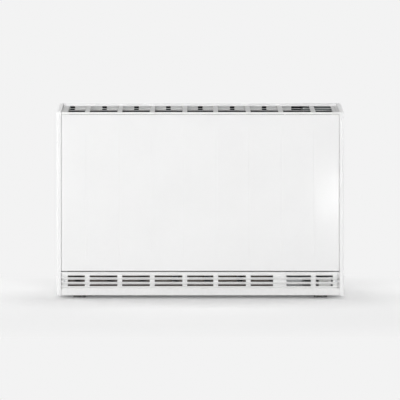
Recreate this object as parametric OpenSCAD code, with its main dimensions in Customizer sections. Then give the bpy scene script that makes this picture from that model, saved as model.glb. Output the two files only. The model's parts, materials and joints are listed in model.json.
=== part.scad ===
// Wall-mounted storage heater: a store of heavy bricks warmed by sheathed elements,
// a fan and damper below it, and a white casing with a sloped top grille.
// Millimetres. +Z is up, the front faces -Y, the origin is the middle of the floor footprint.

/* [Casing] */
// Width over the two side panels
overall_w = 1070; // [950:5:1300]
// Depth from the side panels' front to the wall
overall_d = 185; // [180:1:220]
// Height of the flat top above the floor
casing_top = 728; // [690:1:800]
// Height of the feet
foot_h = 14; // [8:1:30]
// How far the side panels and the lower grille hang below the base tray
shell_drop = 1.5; // [0:0.5:4]
// Free space between the rear panel and the wall
wall_gap = 8; // [5:0.5:15]
// Width of one side panel, seen from the front
side_w = 18; // [14:1:28]
// How far the side panels stand in front of the front panel
side_proud = 2; // [1:0.5:4]
// How far the side panels stand above the flat top
side_rise = 1; // [0.5:0.5:3]
// Radius of the side panels' outer edges
side_edge_r = 9; // [5:0.5:12]
// Wall of the moulded panels
mould_t = 2.5; // [1.5:0.1:3.5]
// Painted sheet of the casing
sheet_t = 1.2; // [0.8:0.1:1.6]
// Visible gap between neighbouring panels
panel_gap = 2; // [1:0.25:3]
// Depth of the panels' folded edges
return_d = 14; // [8:1:14]

/* [Front panel] */
// Spacing of the shallow vertical ribs
rib_pitch = 121; // [100:1:140]
// Height of the ribs above the sheet
rib_h = 0.35; // [0.2:0.05:0.8]
// Width of the ribs
rib_face_w = 6; // [4:0.5:10]
// Distance of the ribs' ends from the panel's top and bottom edges
rib_end = 46; // [30:1:80]

/* [Grilles] */
// Height of the lower grille
lower_grille_h = 87.3; // [80:0.1:100]
// Height of the lowest slot row above the base tray's underside
first_row = 34.6; // [30:0.1:40]
// Spacing of the lower grille's slot rows
row_pitch = 16.9; // [14:0.1:18]
// Height of the lower grille's slots
slot_h = 6.4; // [5:0.1:9]
// Number of slot rows in each grille
slot_rows = 3; // [2:1:3]
// Width of a full slot
slot_w = 103; // [80:1:110]
// Width of the middle slot
mid_slot_w = 97; // [80:1:110]
// Upright rib between two slots
slot_rib = 18; // [12:1:24]
// Plain end of each grille beside the last slot
grille_end = 22; // [18:1:30]
// How far one edge of each louvre bar is set back
bar_tilt = 1.6; // [0.8:0.1:1.9]
// Height of the top grille's upright lip
lip_h = 6.5; // [5:0.5:10]
// Height that the side panels' slope climbs from the lip to the flat top
slope_rise = 35; // [29:0.5:38]
// Angle of the side panels' slope
slope_deg = 28; // [25:1:31]
// Height of the flat top's folded edge that shows above the top grille
fold_shown = 10; // [0:0.5:12]
// Width of the sloped slots; the last row is wider, as far as the fold allows
slope_slot = 15; // [9:0.1:16]
// Width of the louvre bars between the sloped slots
slope_bar = 7; // [4:0.1:8]
// Start of the first sloped slot behind the lip
slope_start = 2.5; // [1:0.1:5]
// Plain strip of the top grille above its last slot
slope_rim = 2; // [1.5:0.1:10]
// Width of the blank part of the lower grille in front of the partition
blank_w = 50; // [30:1:60]
// Length of the folded edge that hangs behind the sloped slots
top_fold = 24.5; // [20:0.5:28]
// Width of the clip notches in that folded edge
notch_w = 17.5; // [10:0.5:24]

/* [Frame and feet] */
// Distance of the base tray's front edge behind the front panel's face
tray_set_back = 14.5; // [14.5:0.5:18]
// Height of the base tray's upturned edges
tray_edge = 20; // [10:1:30]
// Width of the folded edges of the end plates
plate_fold = 20; // [14:1:26]
// Width of a foot
foot_w = 45; // [30:1:60]
// Height of the feet's stop that touches the wall
foot_stop_h = 40; // [30:1:60]
// Distance of a foot from the outer side of the casing
foot_inset = 60; // [60:5:200]
// Distance of a wall bracket's hole from the outer side of the casing
bracket_inset = 115; // [75:5:235]
// Radius of the wall screws' holes
wall_hole_r = 3.5; // [2.5:0.25:5]
// Width of a wall bracket
bracket_w = 40; // [30:1:60]
// Distance of the wall screws below the flat top
wall_hole_drop = 25; // [18:1:40]
// Thickness of the wall brackets
bracket_t = 2; // [1.5:0.25:3]

/* [Heat store] */
// Width of the electrical side at the right of the partition
service_w = 198.5; // [186.5:0.5:216.5]
// Height of the core support above the base tray
support_h = 112.8; // [106:0.1:120]
// Sheet of the core support
support_t = 1.5; // [1:0.25:2.5]
// Thickness of the insulation above, below and at the ends of the bricks
insulation_t = 30; // [20:1:34]
// Thickness of the insulation in front of and behind the bricks
insulation_thin = 22; // [16:1:26]
// Sheet of the core casing
core_sheet = 1; // [0.6:0.1:1.4]
// Free height between the top insulation and the flat top
store_top_gap = 76; // [60:1:110]
// Joint between two bricks
brick_gap = 0.5; // [0.4:0.1:2]
// Number of bricks along a row
brick_cols = 3; // [2:1:4]
// Width of the upright air channels in the bricks
channel_w = 30; // [16:1:36]
// Depth of the upright air channels in the bricks
channel_d = 12; // [8:1:14]
// Radius of the heating elements' sheath
element_r = 4.25; // [3:0.25:5]
// Free space round the heating elements
element_clear = 1.25; // [0.75:0.25:2]
// Radius of the heating elements' bend
element_bend = 24; // [18:1:26]
// Width of the warm air ports
port_w = 24; // [16:1:40]
// Height of the warm air ports
port_h = 43; // [30:1:50]
// Distance of the port pattern from the middle
port_shift = 27; // [0:1:40]

/* [Fan and damper] */
// Radius of the fan wheel
fan_r = 30; // [24:1:32]
// Length of the fan wheel
fan_len = 296; // [200:2:320]
// Number of blades
blade_count = 24; // [12:1:32]
// Depth of a blade
blade_depth = 8; // [6:0.5:9]
// Thickness of a blade
blade_t = 0.9; // [0.7:0.1:1.2]
// Radius of the fan's shaft
shaft_r = 3; // [2:0.25:4]
// Running clearance of the shafts and pins
running_gap = 0.05; // [0.02:0.01:0.1]
// Inner radius of the fan housing
scroll_r = 43; // [40:1:44]
// Radius of the motor's armature
armature_r = 10; // [7:0.5:12]
// Air gap round the armature
air_gap = 0.4; // [0.3:0.05:0.6]
// Length of the motor's laminated stack
stack_len = 22; // [14:1:30]
// Width of the damper flap
flap_w = 38; // [28:1:40]
// Radius of the damper's pins
flap_pin_r = 3; // [2:0.25:3.5]

/* [Electrical side] */
// Width of the control board
board_w = 140; // [100:5:150]
// Height of the control board
board_h = 240; // [160:5:260]
// Number of ways of the terminal block
terminal_ways = 6; // [4:1:7]
// Width of one way of the terminal block
terminal_pitch = 13; // [10:0.5:13]
// Radius of the cable bushes' bore
bush_bore_r = 5.5; // [4:0.25:6]
// Wall of the cable bushes
bush_wall = 3.5; // [2:0.25:5]
// Spacing of the two cable bushes
bush_pitch = 40; // [32:1:60]
// Travel of the cut-out's reset button
reset_travel = 2; // [1:0.25:2.5]
// Radius of the reset button
reset_r = 3; // [2:0.25:4]
// Radius of the vent holes beside the partition
vent_r = 3.2; // [2:0.2:4]
// Spacing of the vent holes
vent_pitch = 11.6; // [9:0.1:14]

/* [Control pod] */
// Width of the control pod
pod_w = 118; // [110:1:122]
// Depth of the control pod
pod_d = 82; // [74:1:86]
// Height of the pod's top above the flat top
pod_h = 1.5; // [0.5:0.1:6]
// Distance of the pod's middle from the right side of the casing
pod_inset = 88; // [87:1:91]
// Slope of the pod's two ends, as the width that they take
pod_taper = 3; // [2:0.5:5]
// Wall of the pod
pod_wall = 2; // [1.5:0.1:2.5]
// Width of the display window
window_w = 52; // [40:1:54]
// Depth of the display window
window_d = 35; // [25:1:40]
// Side of a button
button_side = 14; // [10:0.5:15]
// Gap round a button
button_gap = 0.4; // [0.3:0.05:0.6]
// How far a button stands above the pod
button_rise = 0.5; // [0.5:0.1:1.5]
// Travel of a button
button_travel = 1; // [0.5:0.1:1.2]

/* [Fasteners] */
// Radius of the screws' thread
screw_r = 2; // [1.5:0.25:2.5]
// Radius of the screws' head
screw_head_r = 3.8; // [3:0.1:4.5]
// Height of the screws' head
screw_head_h = 1.6; // [1:0.1:2.4]

/* [Hidden] */
$fn = 48;
eps = 0.5;
touch_free = 0.3;

// Planes of the casing
front_y = -overall_d / 2;
panel_y = front_y + side_proud;
wall_y = overall_d / 2;
rear_y = wall_y - wall_gap;
side_x = overall_w / 2 - side_w;
panel_x = side_x - panel_gap;
slope_z = casing_top - slope_rise;
slope_run = slope_rise / tan(slope_deg);
field_rise = slope_rise - fold_shown;
field_deg = atan(field_rise / slope_run);
field_len = field_rise / sin(field_deg);
top_y = panel_y + slope_run;
lip_z = slope_z - lip_h;
shell_z = foot_h - shell_drop;
grille_z0 = shell_z;
grille_z1 = grille_z0 + lower_grille_h;
panel_z0 = grille_z1 + panel_gap + 0.4;
panel_z1 = lip_z - panel_gap;

// Slot columns: a middle one, full ones on both sides, and a last one that ends at slots_x
slots_x = panel_x - grille_end;
slot_step = slot_w + slot_rib;
first_slot_x = mid_slot_w / 2 + slot_rib;
least_slot = 15;
side_slots = floor((slots_x - first_slot_x - least_slot) / slot_step) + 1;

function slot_start(i) = i == 0 ? -mid_slot_w / 2 : first_slot_x + (i - 1) * slot_step;
function slot_end(i) = i == 0 ? mid_slot_w / 2 : min(slot_start(i) + slot_w, slots_x);

// Frame
tray_z = foot_h + sheet_t;
tray_y = panel_y + tray_set_back;
frame_y = tray_y + sheet_t + 0.8;
frame_x = side_x - 0.5;
partition_x = frame_x - service_w;
partition_top = slope_z - mould_t - 4;
blank_x0 = partition_x + 2.6 - blank_w;
foot_x = overall_w / 2 - foot_inset;
bracket_x = overall_w / 2 - bracket_inset;
bracket_len = 36;
bracket_step_z = casing_top - wall_hole_drop - 16;
bracket_screw_z = bracket_step_z - bracket_len + 16;
rear_in = rear_y - sheet_t;
frame_top = casing_top - 10;
rear_fold = 10;
web_h = fold_shown + 6;
side_screw_z = [foot_h + 56, (foot_h + casing_top) / 2, casing_top - 65];
side_screw_y = (frame_y + rear_in) / 2;
grille_screw_x = panel_x - 10;
grille_screw_z = foot_h + 51;

// Heat store, from the outside in
support_z = tray_z + support_h;
support_y0 = frame_y + sheet_t + touch_free;
support_y1 = rear_in - 1.8;
core_x0 = -frame_x + sheet_t + 3.3;
core_x1 = partition_x - 2;
core_y0 = support_y0 + 9.5;
core_y1 = support_y1 - support_t - core_sheet;
brick_x0 = core_x0 + insulation_t;
brick_x1 = core_x1 - insulation_t;
brick_y0 = core_y0 + insulation_thin;
brick_y1 = core_y1 - insulation_thin;
brick_z0 = support_z + insulation_t;
row_count = 4;
core_z1 = casing_top - store_top_gap;
brick_z1 = core_z1 - insulation_t;
brick_h = (brick_z1 - brick_z0) / (2 * row_count);
brick_len = (brick_x1 - brick_x0) / brick_cols;
element_y = (brick_y0 + brick_y1) / 2;
element_hole_r = element_r + element_clear;
element_x1 = partition_x + 22;
element_bend_x = brick_x0 + element_bend + element_hole_r + 12;
stud_r = 2;
stud_len = 12;
bush_hole_r = element_r + 3.75;
air_front = [core_y0 + 3, brick_y0 + channel_d];
air_rear = [brick_y1 - channel_d, core_y1 - 9];

function element_z(n) = brick_z0 + (2 * n - 1) * brick_h;

sensor_r = 3;
sensor_z = brick_z0 + 4.5 * brick_h;

// Fan
fan_y = 20;
fan_z = tray_z + 54.8;
fan_x = fan_len / 2;
scroll_y = fan_y + 4;
scroll_z = fan_z + 2;
house_x = fan_x + 3;
house_t = 1;
house_y0 = scroll_y - scroll_r - 6;
tongue_z = fan_z - 20;
bearing_r = shaft_r + 6;
bearing_flange_r = bearing_r + 3;
stack_x0 = house_x + 19;
stack_x1 = stack_x0 + stack_len;
stack_half = armature_r + 19;
coil_over = 8;
coil_half = stack_half - 7;
limb_half = 13;
coil_z0 = fan_z - 33;
coil_z1 = coil_z0 + 10;
stack_z0 = coil_z0 - 7;
stack_z1 = fan_z + armature_r + 20;
cap_t = 1.5;
motor_stud_r = 2.5;
shaft_x0 = -house_x - 15;
shaft_x1 = stack_x1 + 9;

// Damper
flap_y = house_y0 - 3;
flap_z = support_z - support_t - 14.5;
flap_t = 1;
flap_tube_r = flap_pin_r + 1;
ear_x = fan_x + 6;
ear_t = 1.5;
pin_x = ear_x + ear_t + 7.5;
flap_motor_r = 13;
flap_motor_x = ear_x + ear_t + 21;

// Electrical side
side_mid_x = (partition_x + frame_x) / 2;
board_t = 1.6;
carrier_t = 3;
board_y = rear_in - 33;
board_z0 = (foot_h + casing_top - board_h) / 2 + 85.5;
post_inset = 10;
post_r = 4;
post_pin_r = 1.5;
relay_size = [20, 15, 28];
relay_pitch = 34;
bush_z = 115;
bush_r = bush_bore_r + bush_wall;
bush_flange_r = bush_r + 3;
bush_flange_t = 2;
bush_mid_x = side_mid_x - 5;
terminal_z = 190;
terminal_h = 25;
terminal_d = 20;
clamp_z = 150;
clamp_h = 12;
clamp_half = bush_pitch / 2 + bush_r + 14;
vent_count = 5;
vent_x = partition_x + 5 + vent_r;
vent_z = foot_h + first_row;
vent_plate_x = vent_x + vent_count * vent_pitch - 3;
vent_plate_z = foot_h + 62;
cutout_size = [15, 30, 40];
cutout_z = partition_top - cutout_size[2] - 46.5;
reset_len = 8.5;
reset_hole = reset_r + touch_free;
room_sensor_x = side_mid_x + 49;
room_sensor_w = 44;

// Control pod
pod_y0 = top_y + 10;
pod_y1 = pod_y0 + pod_d;
pod_x0 = overall_w / 2 - pod_inset - pod_w / 2;
pod_x1 = pod_x0 + pod_w;
pod_z = casing_top + pod_h;
pod_step = 3;
pod_low = 25;
box_x0 = pod_x0 + pod_step;
box_x1 = pod_x1 - pod_step;
box_y0 = pod_y0 + pod_step;
box_y1 = pod_y1 - pod_step;
window_x0 = pod_x0 + 12;
window_y0 = (pod_y0 + pod_y1 - window_d) / 2;
button_x = [pod_x0 + 78, pod_x0 + 98];
button_y = [(pod_y0 + pod_y1) / 2 - 11, (pod_y0 + pod_y1) / 2 + 11];
button_flange = 1.5;
button_flange_t = 1.5;
button_flange_z = pod_z - pod_wall - touch_free;
button_stem = 2.5;
pod_board_z = pod_z - 13.2;
pod_board_t = 1.6;
switch_r = 3;
switch_z = button_flange_z - button_flange_t - button_stem - button_travel - 0.4;
pod_post_r = 3;

// A block between two opposite corners
module span(low, high) {
  translate(low)
    cube(high - low);
}

module rod_x(r, x0, x1, y, z) {
  translate([x0, y, z])
    rotate([0, 90, 0])
      cylinder(r = r, h = x1 - x0);
}

module rod_y(r, x, y0, y1, z) {
  translate([x, y0, z])
    rotate([-90, 0, 0])
      cylinder(r = r, h = y1 - y0);
}

module rod_z(r, x, y, z0, z1) {
  translate([x, y, z0])
    cylinder(r = r, h = z1 - z0);
}

// Extrudes a side view, drawn as [y, z], from x0 to x1
module along_x(x0, x1) {
  translate([x0, 0, 0])
    rotate([90, 0, 90])
      linear_extrude(x1 - x0)
        children();
}

// Extrudes a front view, drawn as [x, z], from y0 to y1
module along_y(y0, y1) {
  translate([0, y1, 0])
    rotate([90, 0, 0])
      linear_extrude(y1 - y0)
        children();
}

// The left-hand copy of a right-hand piece
module other_side() {
  mirror([1, 0, 0])
    children();
}

// ---- Casing ----

// Solid form of the right side panel, with every face moved in by inset
module side_form(inset) {
  r = side_edge_r - inset;
  y0 = front_y + inset + r;
  y1 = rear_y - inset - r;
  top = casing_top + side_rise - inset;
  bend_z = slope_z + (side_proud - inset - r) * tan((90 - slope_deg) / 2);
  bend_y = y0 + (top - r - bend_z) / tan(slope_deg);
  x0 = inset > 0 ? side_x - eps : side_x;
  x1 = overall_w / 2 - inset - r;
  hull() {
    for (corner = [[y0, bend_z], [bend_y, top - r], [y1, top - r]]) {
      rod_x(r, x0, x1, corner[0], corner[1], $fn = 32);
      translate([x1, corner[0], corner[1]])
        sphere(r, $fn = 32);
    }
    for (y = [y0, y1])
      rod_z(r, x1, y, shell_z + inset, shell_z + inset + 1, $fn = 32);
    span([x0, y0 - r, shell_z + inset], [x1, y1 + r, shell_z + inset + 1]);
  }
}

// Shell with an inner web where its slope rises above the top grille, and with screw bosses
module side_panel() {
  difference() {
    side_form(0);
    side_form(mould_t);
  }
  along_x(side_x, side_x + mould_t)
    polygon([
      [panel_y + 1, slope_z], [top_y + 1, casing_top],
      [top_y + 1, casing_top - web_h], [panel_y + 1, slope_z - web_h]
    ]);
  for (z = side_screw_z)
    difference() {
      rod_x(screw_r + 3, frame_x, overall_w / 2 - mould_t + eps, side_screw_y, z);
      rod_x(screw_r, frame_x - eps, frame_x + 10, side_screw_y, z);
    }
}

module left_side_panel() {
  color("white")
    other_side()
      side_panel();
}

module right_side_panel() {
  color("white")
    side_panel();
}

// Sheet folded back along its four edges, with shallow upright ribs on its face
module front_panel() {
  rib_r = (rib_face_w * rib_face_w / 4 + rib_h * rib_h) / (2 * rib_h);
  rib_total = 2 * floor((panel_x - rib_pitch / 2 - 30) / rib_pitch) + 2;
  color("white") {
    difference() {
      span([-panel_x, panel_y, panel_z0], [panel_x, panel_y + return_d, panel_z1]);
      span([-panel_x + sheet_t, panel_y + sheet_t, panel_z0 + sheet_t],
           [panel_x - sheet_t, panel_y + return_d + eps, panel_z1 - sheet_t]);
    }
    for (i = [0 : rib_total - 1])
      translate([(i - (rib_total - 1) / 2) * rib_pitch, 0, 0])
        intersection() {
          rod_z(rib_r, 0, panel_y + rib_r - rib_h, panel_z0 + rib_end, panel_z1 - rib_end);
          span([-rib_face_w, panel_y - 2 * rib_h, panel_z0],
               [rib_face_w, panel_y + sheet_t / 2, panel_z1]);
        }
  }
}

// Flat top with the pod's cut-out and a notched front fold that hangs behind the sloped slots
module top_panel() {
  fold_x1 = partition_x + 27;
  least_fold = fold_shown + mould_t + 2;
  notch_top = casing_top - fold_shown - 1;
  color("white")
    difference() {
      union() {
        span([-panel_x, top_y, casing_top - sheet_t], [panel_x, rear_y, casing_top]);
        span([-panel_x, top_y, casing_top - top_fold],
             [fold_x1, top_y + sheet_t, casing_top]);
        span([-panel_x, top_y, casing_top - least_fold], [panel_x, top_y + sheet_t, casing_top]);
        for (x = [-panel_x, panel_x - sheet_t])
          span([x, top_y, casing_top - top_fold / 2],
               [x + sheet_t, rear_in - rear_fold - panel_gap, casing_top]);
      }
      for (i = [-side_slots : side_slots])
        if (i * slot_step < fold_x1 - notch_w)
          span([i * slot_step - notch_w / 2, top_y - eps, casing_top - top_fold - eps],
               [i * slot_step + notch_w / 2, top_y + sheet_t + eps, notch_top]);
      span([box_x0 - touch_free, box_y0 - touch_free, casing_top - 2 * sheet_t],
           [box_x1 + touch_free, box_y1 + touch_free, casing_top + eps]);
    }
}

// Cutters for the slots of a grille that is drawn upright with its face at y = 0,
// the lowest row from z up
module slots(z, pitch, h, rows = slot_rows) {
  for (n = [0 : rows - 1], i = [-side_slots : side_slots])
    mirror([i < 0 ? 1 : 0, 0, 0])
      span([slot_start(abs(i)), -mould_t - 1, z + n * pitch],
           [slot_end(abs(i)), mould_t + 1, z + n * pitch + h]);
}

// Wedge that sets back a louvre bar's lower edge at z by low and its upper edge by high
module bar_wedge(z, h, low, high, half) {
  along_x(-half, half)
    polygon([[-eps, z - 0.01], [low, z - 0.01], [high, z + h + 0.01], [-eps, z + h + 0.01]]);
}

// Grille with an upright lip at the front and a sloped field that ends at the flat top's fold
module top_grille() {
  inner = mould_t * tan((90 - field_deg) / 2);
  pitch = slope_slot + slope_bar;
  last_slot = slope_start + (slot_rows - 1) * pitch;
  slots_end = field_len - slope_rim;
  end_y = top_y - eps;
  end_z = slope_z + field_rise - eps * tan(field_deg);
  color("whitesmoke")
    difference() {
      along_x(-panel_x, panel_x)
        polygon([
          [panel_y, lip_z], [panel_y, slope_z], [end_y, end_z],
          [end_y, end_z - mould_t / cos(field_deg)],
          [panel_y + mould_t, slope_z - inner], [panel_y + mould_t, lip_z]
        ]);
      translate([0, panel_y, slope_z])
        rotate([field_deg - 90, 0, 0]) {
          slots(slope_start, pitch, slope_slot, slot_rows - 1);
          slots(last_slot, pitch, slots_end - last_slot, 1);
          for (n = [0 : slot_rows - 2])
            bar_wedge(slope_start + slope_slot + n * pitch, slope_bar, 0, bar_tilt, slots_x);
          span([panel_x - 9.5, -mould_t, slope_start],
               [panel_x - 8.2, mould_t + 1, slots_end]);
        }
    }
}

// Moulded grille in front of the fan, folded back along its top and bottom edges
module lower_grille() {
  boss_r = screw_r + 3;
  low_slot = foot_h + first_row - slot_h / 2;
  bar_h = row_pitch - slot_h;
  low_bar = bar_h * 2 / 3;
  groove_x = panel_x - 4;
  color("whitesmoke")
    difference() {
      union() {
        difference() {
          span([-panel_x, panel_y, grille_z0], [panel_x, panel_y + return_d - 1, grille_z1]);
          span([-panel_x - eps, panel_y + mould_t, grille_z0 + mould_t],
               [panel_x + eps, panel_y + return_d, grille_z1 - mould_t]);
        }
        for (x = [-grille_screw_x, grille_screw_x])
          rod_y(boss_r, x, panel_y + 1, frame_y, grille_screw_z);
      }
      difference() {
        translate([0, panel_y, 0])
          slots(low_slot, row_pitch, slot_h);
        span([blank_x0, panel_y - mould_t - 2, low_slot - 1],
             [blank_x0 + blank_w, panel_y + mould_t + 2, grille_z1]);
      }
      translate([0, panel_y, 0]) {
        for (n = [0 : slot_rows - 1])
          bar_wedge(low_slot + slot_h + n * row_pitch, bar_h, bar_tilt, 0, groove_x);
        bar_wedge(low_slot - low_bar, low_bar, bar_tilt * low_bar / bar_h, 0, groove_x);
        span([groove_x, -1, low_slot - low_bar],
             [panel_x + 1, mould_t + 1, low_slot + (slot_rows - 1) * row_pitch + slot_h]);
      }
      for (x = [-grille_screw_x, grille_screw_x]) {
        rod_y(screw_r, x, panel_y - 1, frame_y + 1, grille_screw_z);
        rod_y(screw_head_r + touch_free, x, panel_y - 1, panel_y + screw_head_h,
              grille_screw_z);
      }
    }
}

module rear_panel() {
  color("gainsboro")
    difference() {
      union() {
        span([-frame_x, rear_in, tray_z], [frame_x, rear_y, casing_top - 3]);
        span([-frame_x, rear_in - rear_fold, casing_top - 3 - sheet_t],
             [frame_x, rear_in + eps, casing_top - 3]);
      }
      for (s = [-1, 1])
        rod_y(bush_r, bush_mid_x + s * bush_pitch / 2, rear_in - 1, rear_y + 1, bush_z);
      for (s = [-1, 1], x = [-10, 10])
        rod_y(screw_r, s * bracket_x + x, rear_in - 1, rear_y + 1, bracket_screw_z);
    }
}

// Floor of the casing, with its front and rear edges turned up
module base_tray() {
  rear_half = frame_x - sheet_t - plate_fold - 1;
  color("silver")
    union() {
      span([-frame_x, tray_y, foot_h], [frame_x, rear_y, tray_z]);
      span([-panel_x, tray_y, foot_h], [panel_x, tray_y + sheet_t, foot_h + tray_edge]);
      span([-rear_half, rear_in - sheet_t, foot_h], [rear_half, rear_in, foot_h + tray_edge]);
    }
}

// Upright sheet that carries a side panel, with folded front and rear edges
module end_plate() {
  x0 = frame_x - sheet_t;
  front_top = slope_z - mould_t - 2;
  difference() {
    union() {
      along_x(x0, frame_x)
        polygon([
          [frame_y, tray_z], [frame_y, front_top],
          [frame_y + (frame_top - front_top) / tan(slope_deg), frame_top],
          [rear_in, frame_top], [rear_in, tray_z]
        ]);
      span([frame_x - plate_fold, frame_y, tray_z], [frame_x, frame_y + sheet_t, front_top]);
      span([frame_x - plate_fold, rear_in - sheet_t, tray_z], [frame_x, rear_in, frame_top - 5]);
    }
    for (z = side_screw_z)
      rod_x(screw_r, x0 - 1, frame_x + 1, side_screw_y, z);
    rod_y(screw_r, grille_screw_x, frame_y - 1, frame_y + 3, grille_screw_z);
  }
}

module left_end_plate() {
  color("silver")
    other_side()
      end_plate();
}

module right_end_plate() {
  color("silver")
    end_plate();
}

// Foot with a sloped nose and a stop that keeps the casing off the wall
module foot() {
  nose_y = tray_y + 6;
  along_x(foot_x - foot_w, foot_x)
    polygon([
      [nose_y + foot_h / 2, 0], [nose_y, foot_h], [rear_y, foot_h], [rear_y, foot_stop_h],
      [wall_y, foot_stop_h], [wall_y, 0]
    ]);
}

module left_foot() {
  color("dimgray")
    other_side()
      foot();
}

module right_foot() {
  color("dimgray")
    foot();
}

// Cranked strips that the wall screws go through
module wall_brackets() {
  half = bracket_w / 2;
  step_low = bracket_step_z - bracket_t;
  color("silver")
    for (s = [-1, 1])
      translate([s * bracket_x, 0, 0])
        difference() {
          union() {
            span([-half, rear_y, bracket_step_z - bracket_len],
                 [half, rear_y + bracket_t, bracket_step_z]);
            span([-half, rear_y, step_low], [half, wall_y, bracket_step_z]);
            span([-half, wall_y - bracket_t, step_low], [half, wall_y, casing_top - 6]);
          }
          rod_y(wall_hole_r, 0, wall_y - bracket_t - 1, wall_y + 1, casing_top - wall_hole_drop);
          for (x = [-10, 10])
            rod_y(screw_r, x, rear_y - 1, rear_y + bracket_t + 1, bracket_screw_z);
        }
}

// ---- Heat store ----

// Bench of folded sheet that carries the bricks, with the warm air ports in its front
// and two lugs for the damper's pins
module core_support() {
  port_z = support_z - support_t - 31.5 - port_h;
  first_port = ceil((core_x0 + port_w - port_shift) / slot_step);
  last_port = floor((core_x1 - port_w - port_shift) / slot_step);
  color("darkgray")
    difference() {
      union() {
        span([core_x0 - core_sheet, support_y0, tray_z],
             [core_x1, support_y0 + support_t, support_z]);
        span([core_x0 - core_sheet, support_y1 - support_t, tray_z],
             [core_x1, support_y1, support_z]);
        span([core_x0 - core_sheet, support_y0, support_z - support_t],
             [core_x1, support_y1, support_z]);
        for (x = [-ear_x - ear_t, ear_x])
          span([x, flap_y - 7, flap_z - 7], [x + ear_t, flap_y + 7, support_z]);
      }
      for (n = [first_port : last_port])
        translate([port_shift + n * slot_step, support_y0, port_z])
          span([-port_w / 2, -1, 0], [port_w / 2, support_t + 1, port_h]);
      for (slot = [air_front, air_rear])
        span([-fan_x, slot[0], support_z - support_t - 1], [fan_x, slot[1], support_z + 1]);
      rod_x(flap_pin_r + running_gap, -pin_x, pin_x, flap_y, flap_z);
    }
}

// Sheet box round the insulation, open at the front and the right
module core_casing() {
  y1 = core_y1 + core_sheet;
  z1 = core_z1 + core_sheet;
  color("silver")
    union() {
      span([core_x0 - core_sheet, core_y1, support_z], [core_x1, y1, z1]);
      span([core_x0 - core_sheet, core_y0, core_z1], [core_x1, y1, z1]);
      span([core_x0 - core_sheet, core_y0, support_z], [core_x0, y1, z1]);
    }
}

module inner_front_cover() {
  color("silver")
    span([core_x0 - core_sheet, core_y0 - core_sheet, support_z],
         [core_x1, core_y0, core_z1 + core_sheet]);
}

module base_insulation() {
  color("tan")
    difference() {
      span([core_x0, core_y0, support_z], [core_x1, core_y1, brick_z0]);
      for (slot = [air_front, air_rear])
        span([-fan_x, slot[0], support_z - 1], [fan_x, slot[1], brick_z0 + 1]);
    }
}

module rear_insulation() {
  color("tan")
    span([core_x0, brick_y1, brick_z0], [core_x1, core_y1, brick_z1]);
}

module front_insulation() {
  color("tan")
    span([core_x0, core_y0, brick_z0], [core_x1, brick_y0, brick_z1]);
}

module left_insulation() {
  color("tan")
    span([core_x0, brick_y0, brick_z0], [brick_x0, brick_y1, brick_z1]);
}

module right_insulation() {
  color("tan")
    difference() {
      span([brick_x1, brick_y0, brick_z0], [core_x1, brick_y1, brick_z1]);
      for (n = [1 : row_count], s = [-1, 1])
        rod_x(element_hole_r, brick_x1 - 1, core_x1 + 1, element_y + s * element_bend,
              element_z(n));
      rod_x(sensor_r, brick_x1 - 1, core_x1 + 1, element_y, sensor_z);
    }
}

module top_insulation() {
  color("tan")
    span([core_x0, core_y0, brick_z1], [core_x1, core_y1, core_z1]);
}

// One brick with air channels in its front and back, standing on z
module brick(x, z) {
  channels = floor(brick_len / (2.6 * channel_w));
  difference() {
    span([x + brick_gap / 2, brick_y0, z],
         [x + brick_len - brick_gap / 2, brick_y1, z + brick_h - brick_gap]);
    for (i = [0 : channels - 1], y = [brick_y0, brick_y1])
      translate([x + (i + 0.5) * brick_len / channels, y, z])
        span([-channel_w / 2, -channel_d, -1], [channel_w / 2, channel_d, brick_h + 1]);
  }
}

// Two layers of bricks round one heating element
module brick_row(n) {
  z = element_z(n);
  color("saddlebrown")
    difference() {
      for (i = [0 : brick_cols - 1], layer = [0, 1])
        brick(brick_x0 + i * brick_len, z + (layer - 1) * brick_h);
      for (s = [-1, 1])
        rod_x(element_hole_r, element_bend_x, brick_x1 + 1, element_y + s * element_bend,
              z - brick_gap / 2);
      span([element_bend_x - element_bend - element_hole_r,
            element_y - element_bend - element_hole_r, z - element_hole_r],
           [element_bend_x + 2, element_y + element_bend + element_hole_r,
            z + element_hole_r - brick_gap]);
    }
}

module brick_row_1() {
  brick_row(1);
}

module brick_row_2() {
  brick_row(2);
}

module brick_row_3() {
  brick_row(3);
}

module brick_row_4() {
  brick_row(4);
}

// Sheathed hairpin element with a threaded stud on each leg
module heating_element(n) {
  z = element_z(n) - brick_gap / 2;
  color("dimgray")
    union() {
      for (s = [-1, 1]) {
        rod_x(element_r, element_bend_x, element_x1, element_y + s * element_bend, z);
        rod_x(stud_r, element_x1 - 1, element_x1 + stud_len, element_y + s * element_bend, z);
      }
      translate([element_bend_x, element_y, z])
        rotate([0, 0, 90])
          rotate_extrude(angle = 180)
            translate([element_bend, 0])
              circle(element_r);
    }
}

module heating_element_1() {
  heating_element(1);
}

module heating_element_2() {
  heating_element(2);
}

module heating_element_3() {
  heating_element(3);
}

module heating_element_4() {
  heating_element(4);
}

// Ceramic rings that seat each element leg in the partition
module element_bushes() {
  color("ivory")
    for (n = [1 : row_count], s = [-1, 1])
      translate([0, element_y + s * element_bend, element_z(n) - brick_gap / 2])
        difference() {
          union() {
            rod_x(bush_hole_r, partition_x - 1, partition_x + sheet_t, 0, 0);
            rod_x(bush_hole_r + 2.5, partition_x + sheet_t, partition_x + sheet_t + 4, 0, 0);
          }
          rod_x(element_r, partition_x - 2, partition_x + sheet_t + 5, 0, 0);
        }
}

// Probe that touches the end of the bricks, with its head outside the partition
module core_sensor() {
  color("silver")
    union() {
      rod_x(sensor_r, brick_x1, partition_x + sheet_t + 1, element_y, sensor_z);
      rod_x(sensor_r + 4, partition_x + sheet_t, partition_x + sheet_t + 8, element_y, sensor_z);
    }
}

// ---- Fan and damper ----

// Side view of the fan housing's inside
module scroll_view(r) {
  translate([scroll_y, scroll_z])
    circle(r);
  translate([house_y0, scroll_z - r])
    square([scroll_y - house_y0, 2 * r]);
}

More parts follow.
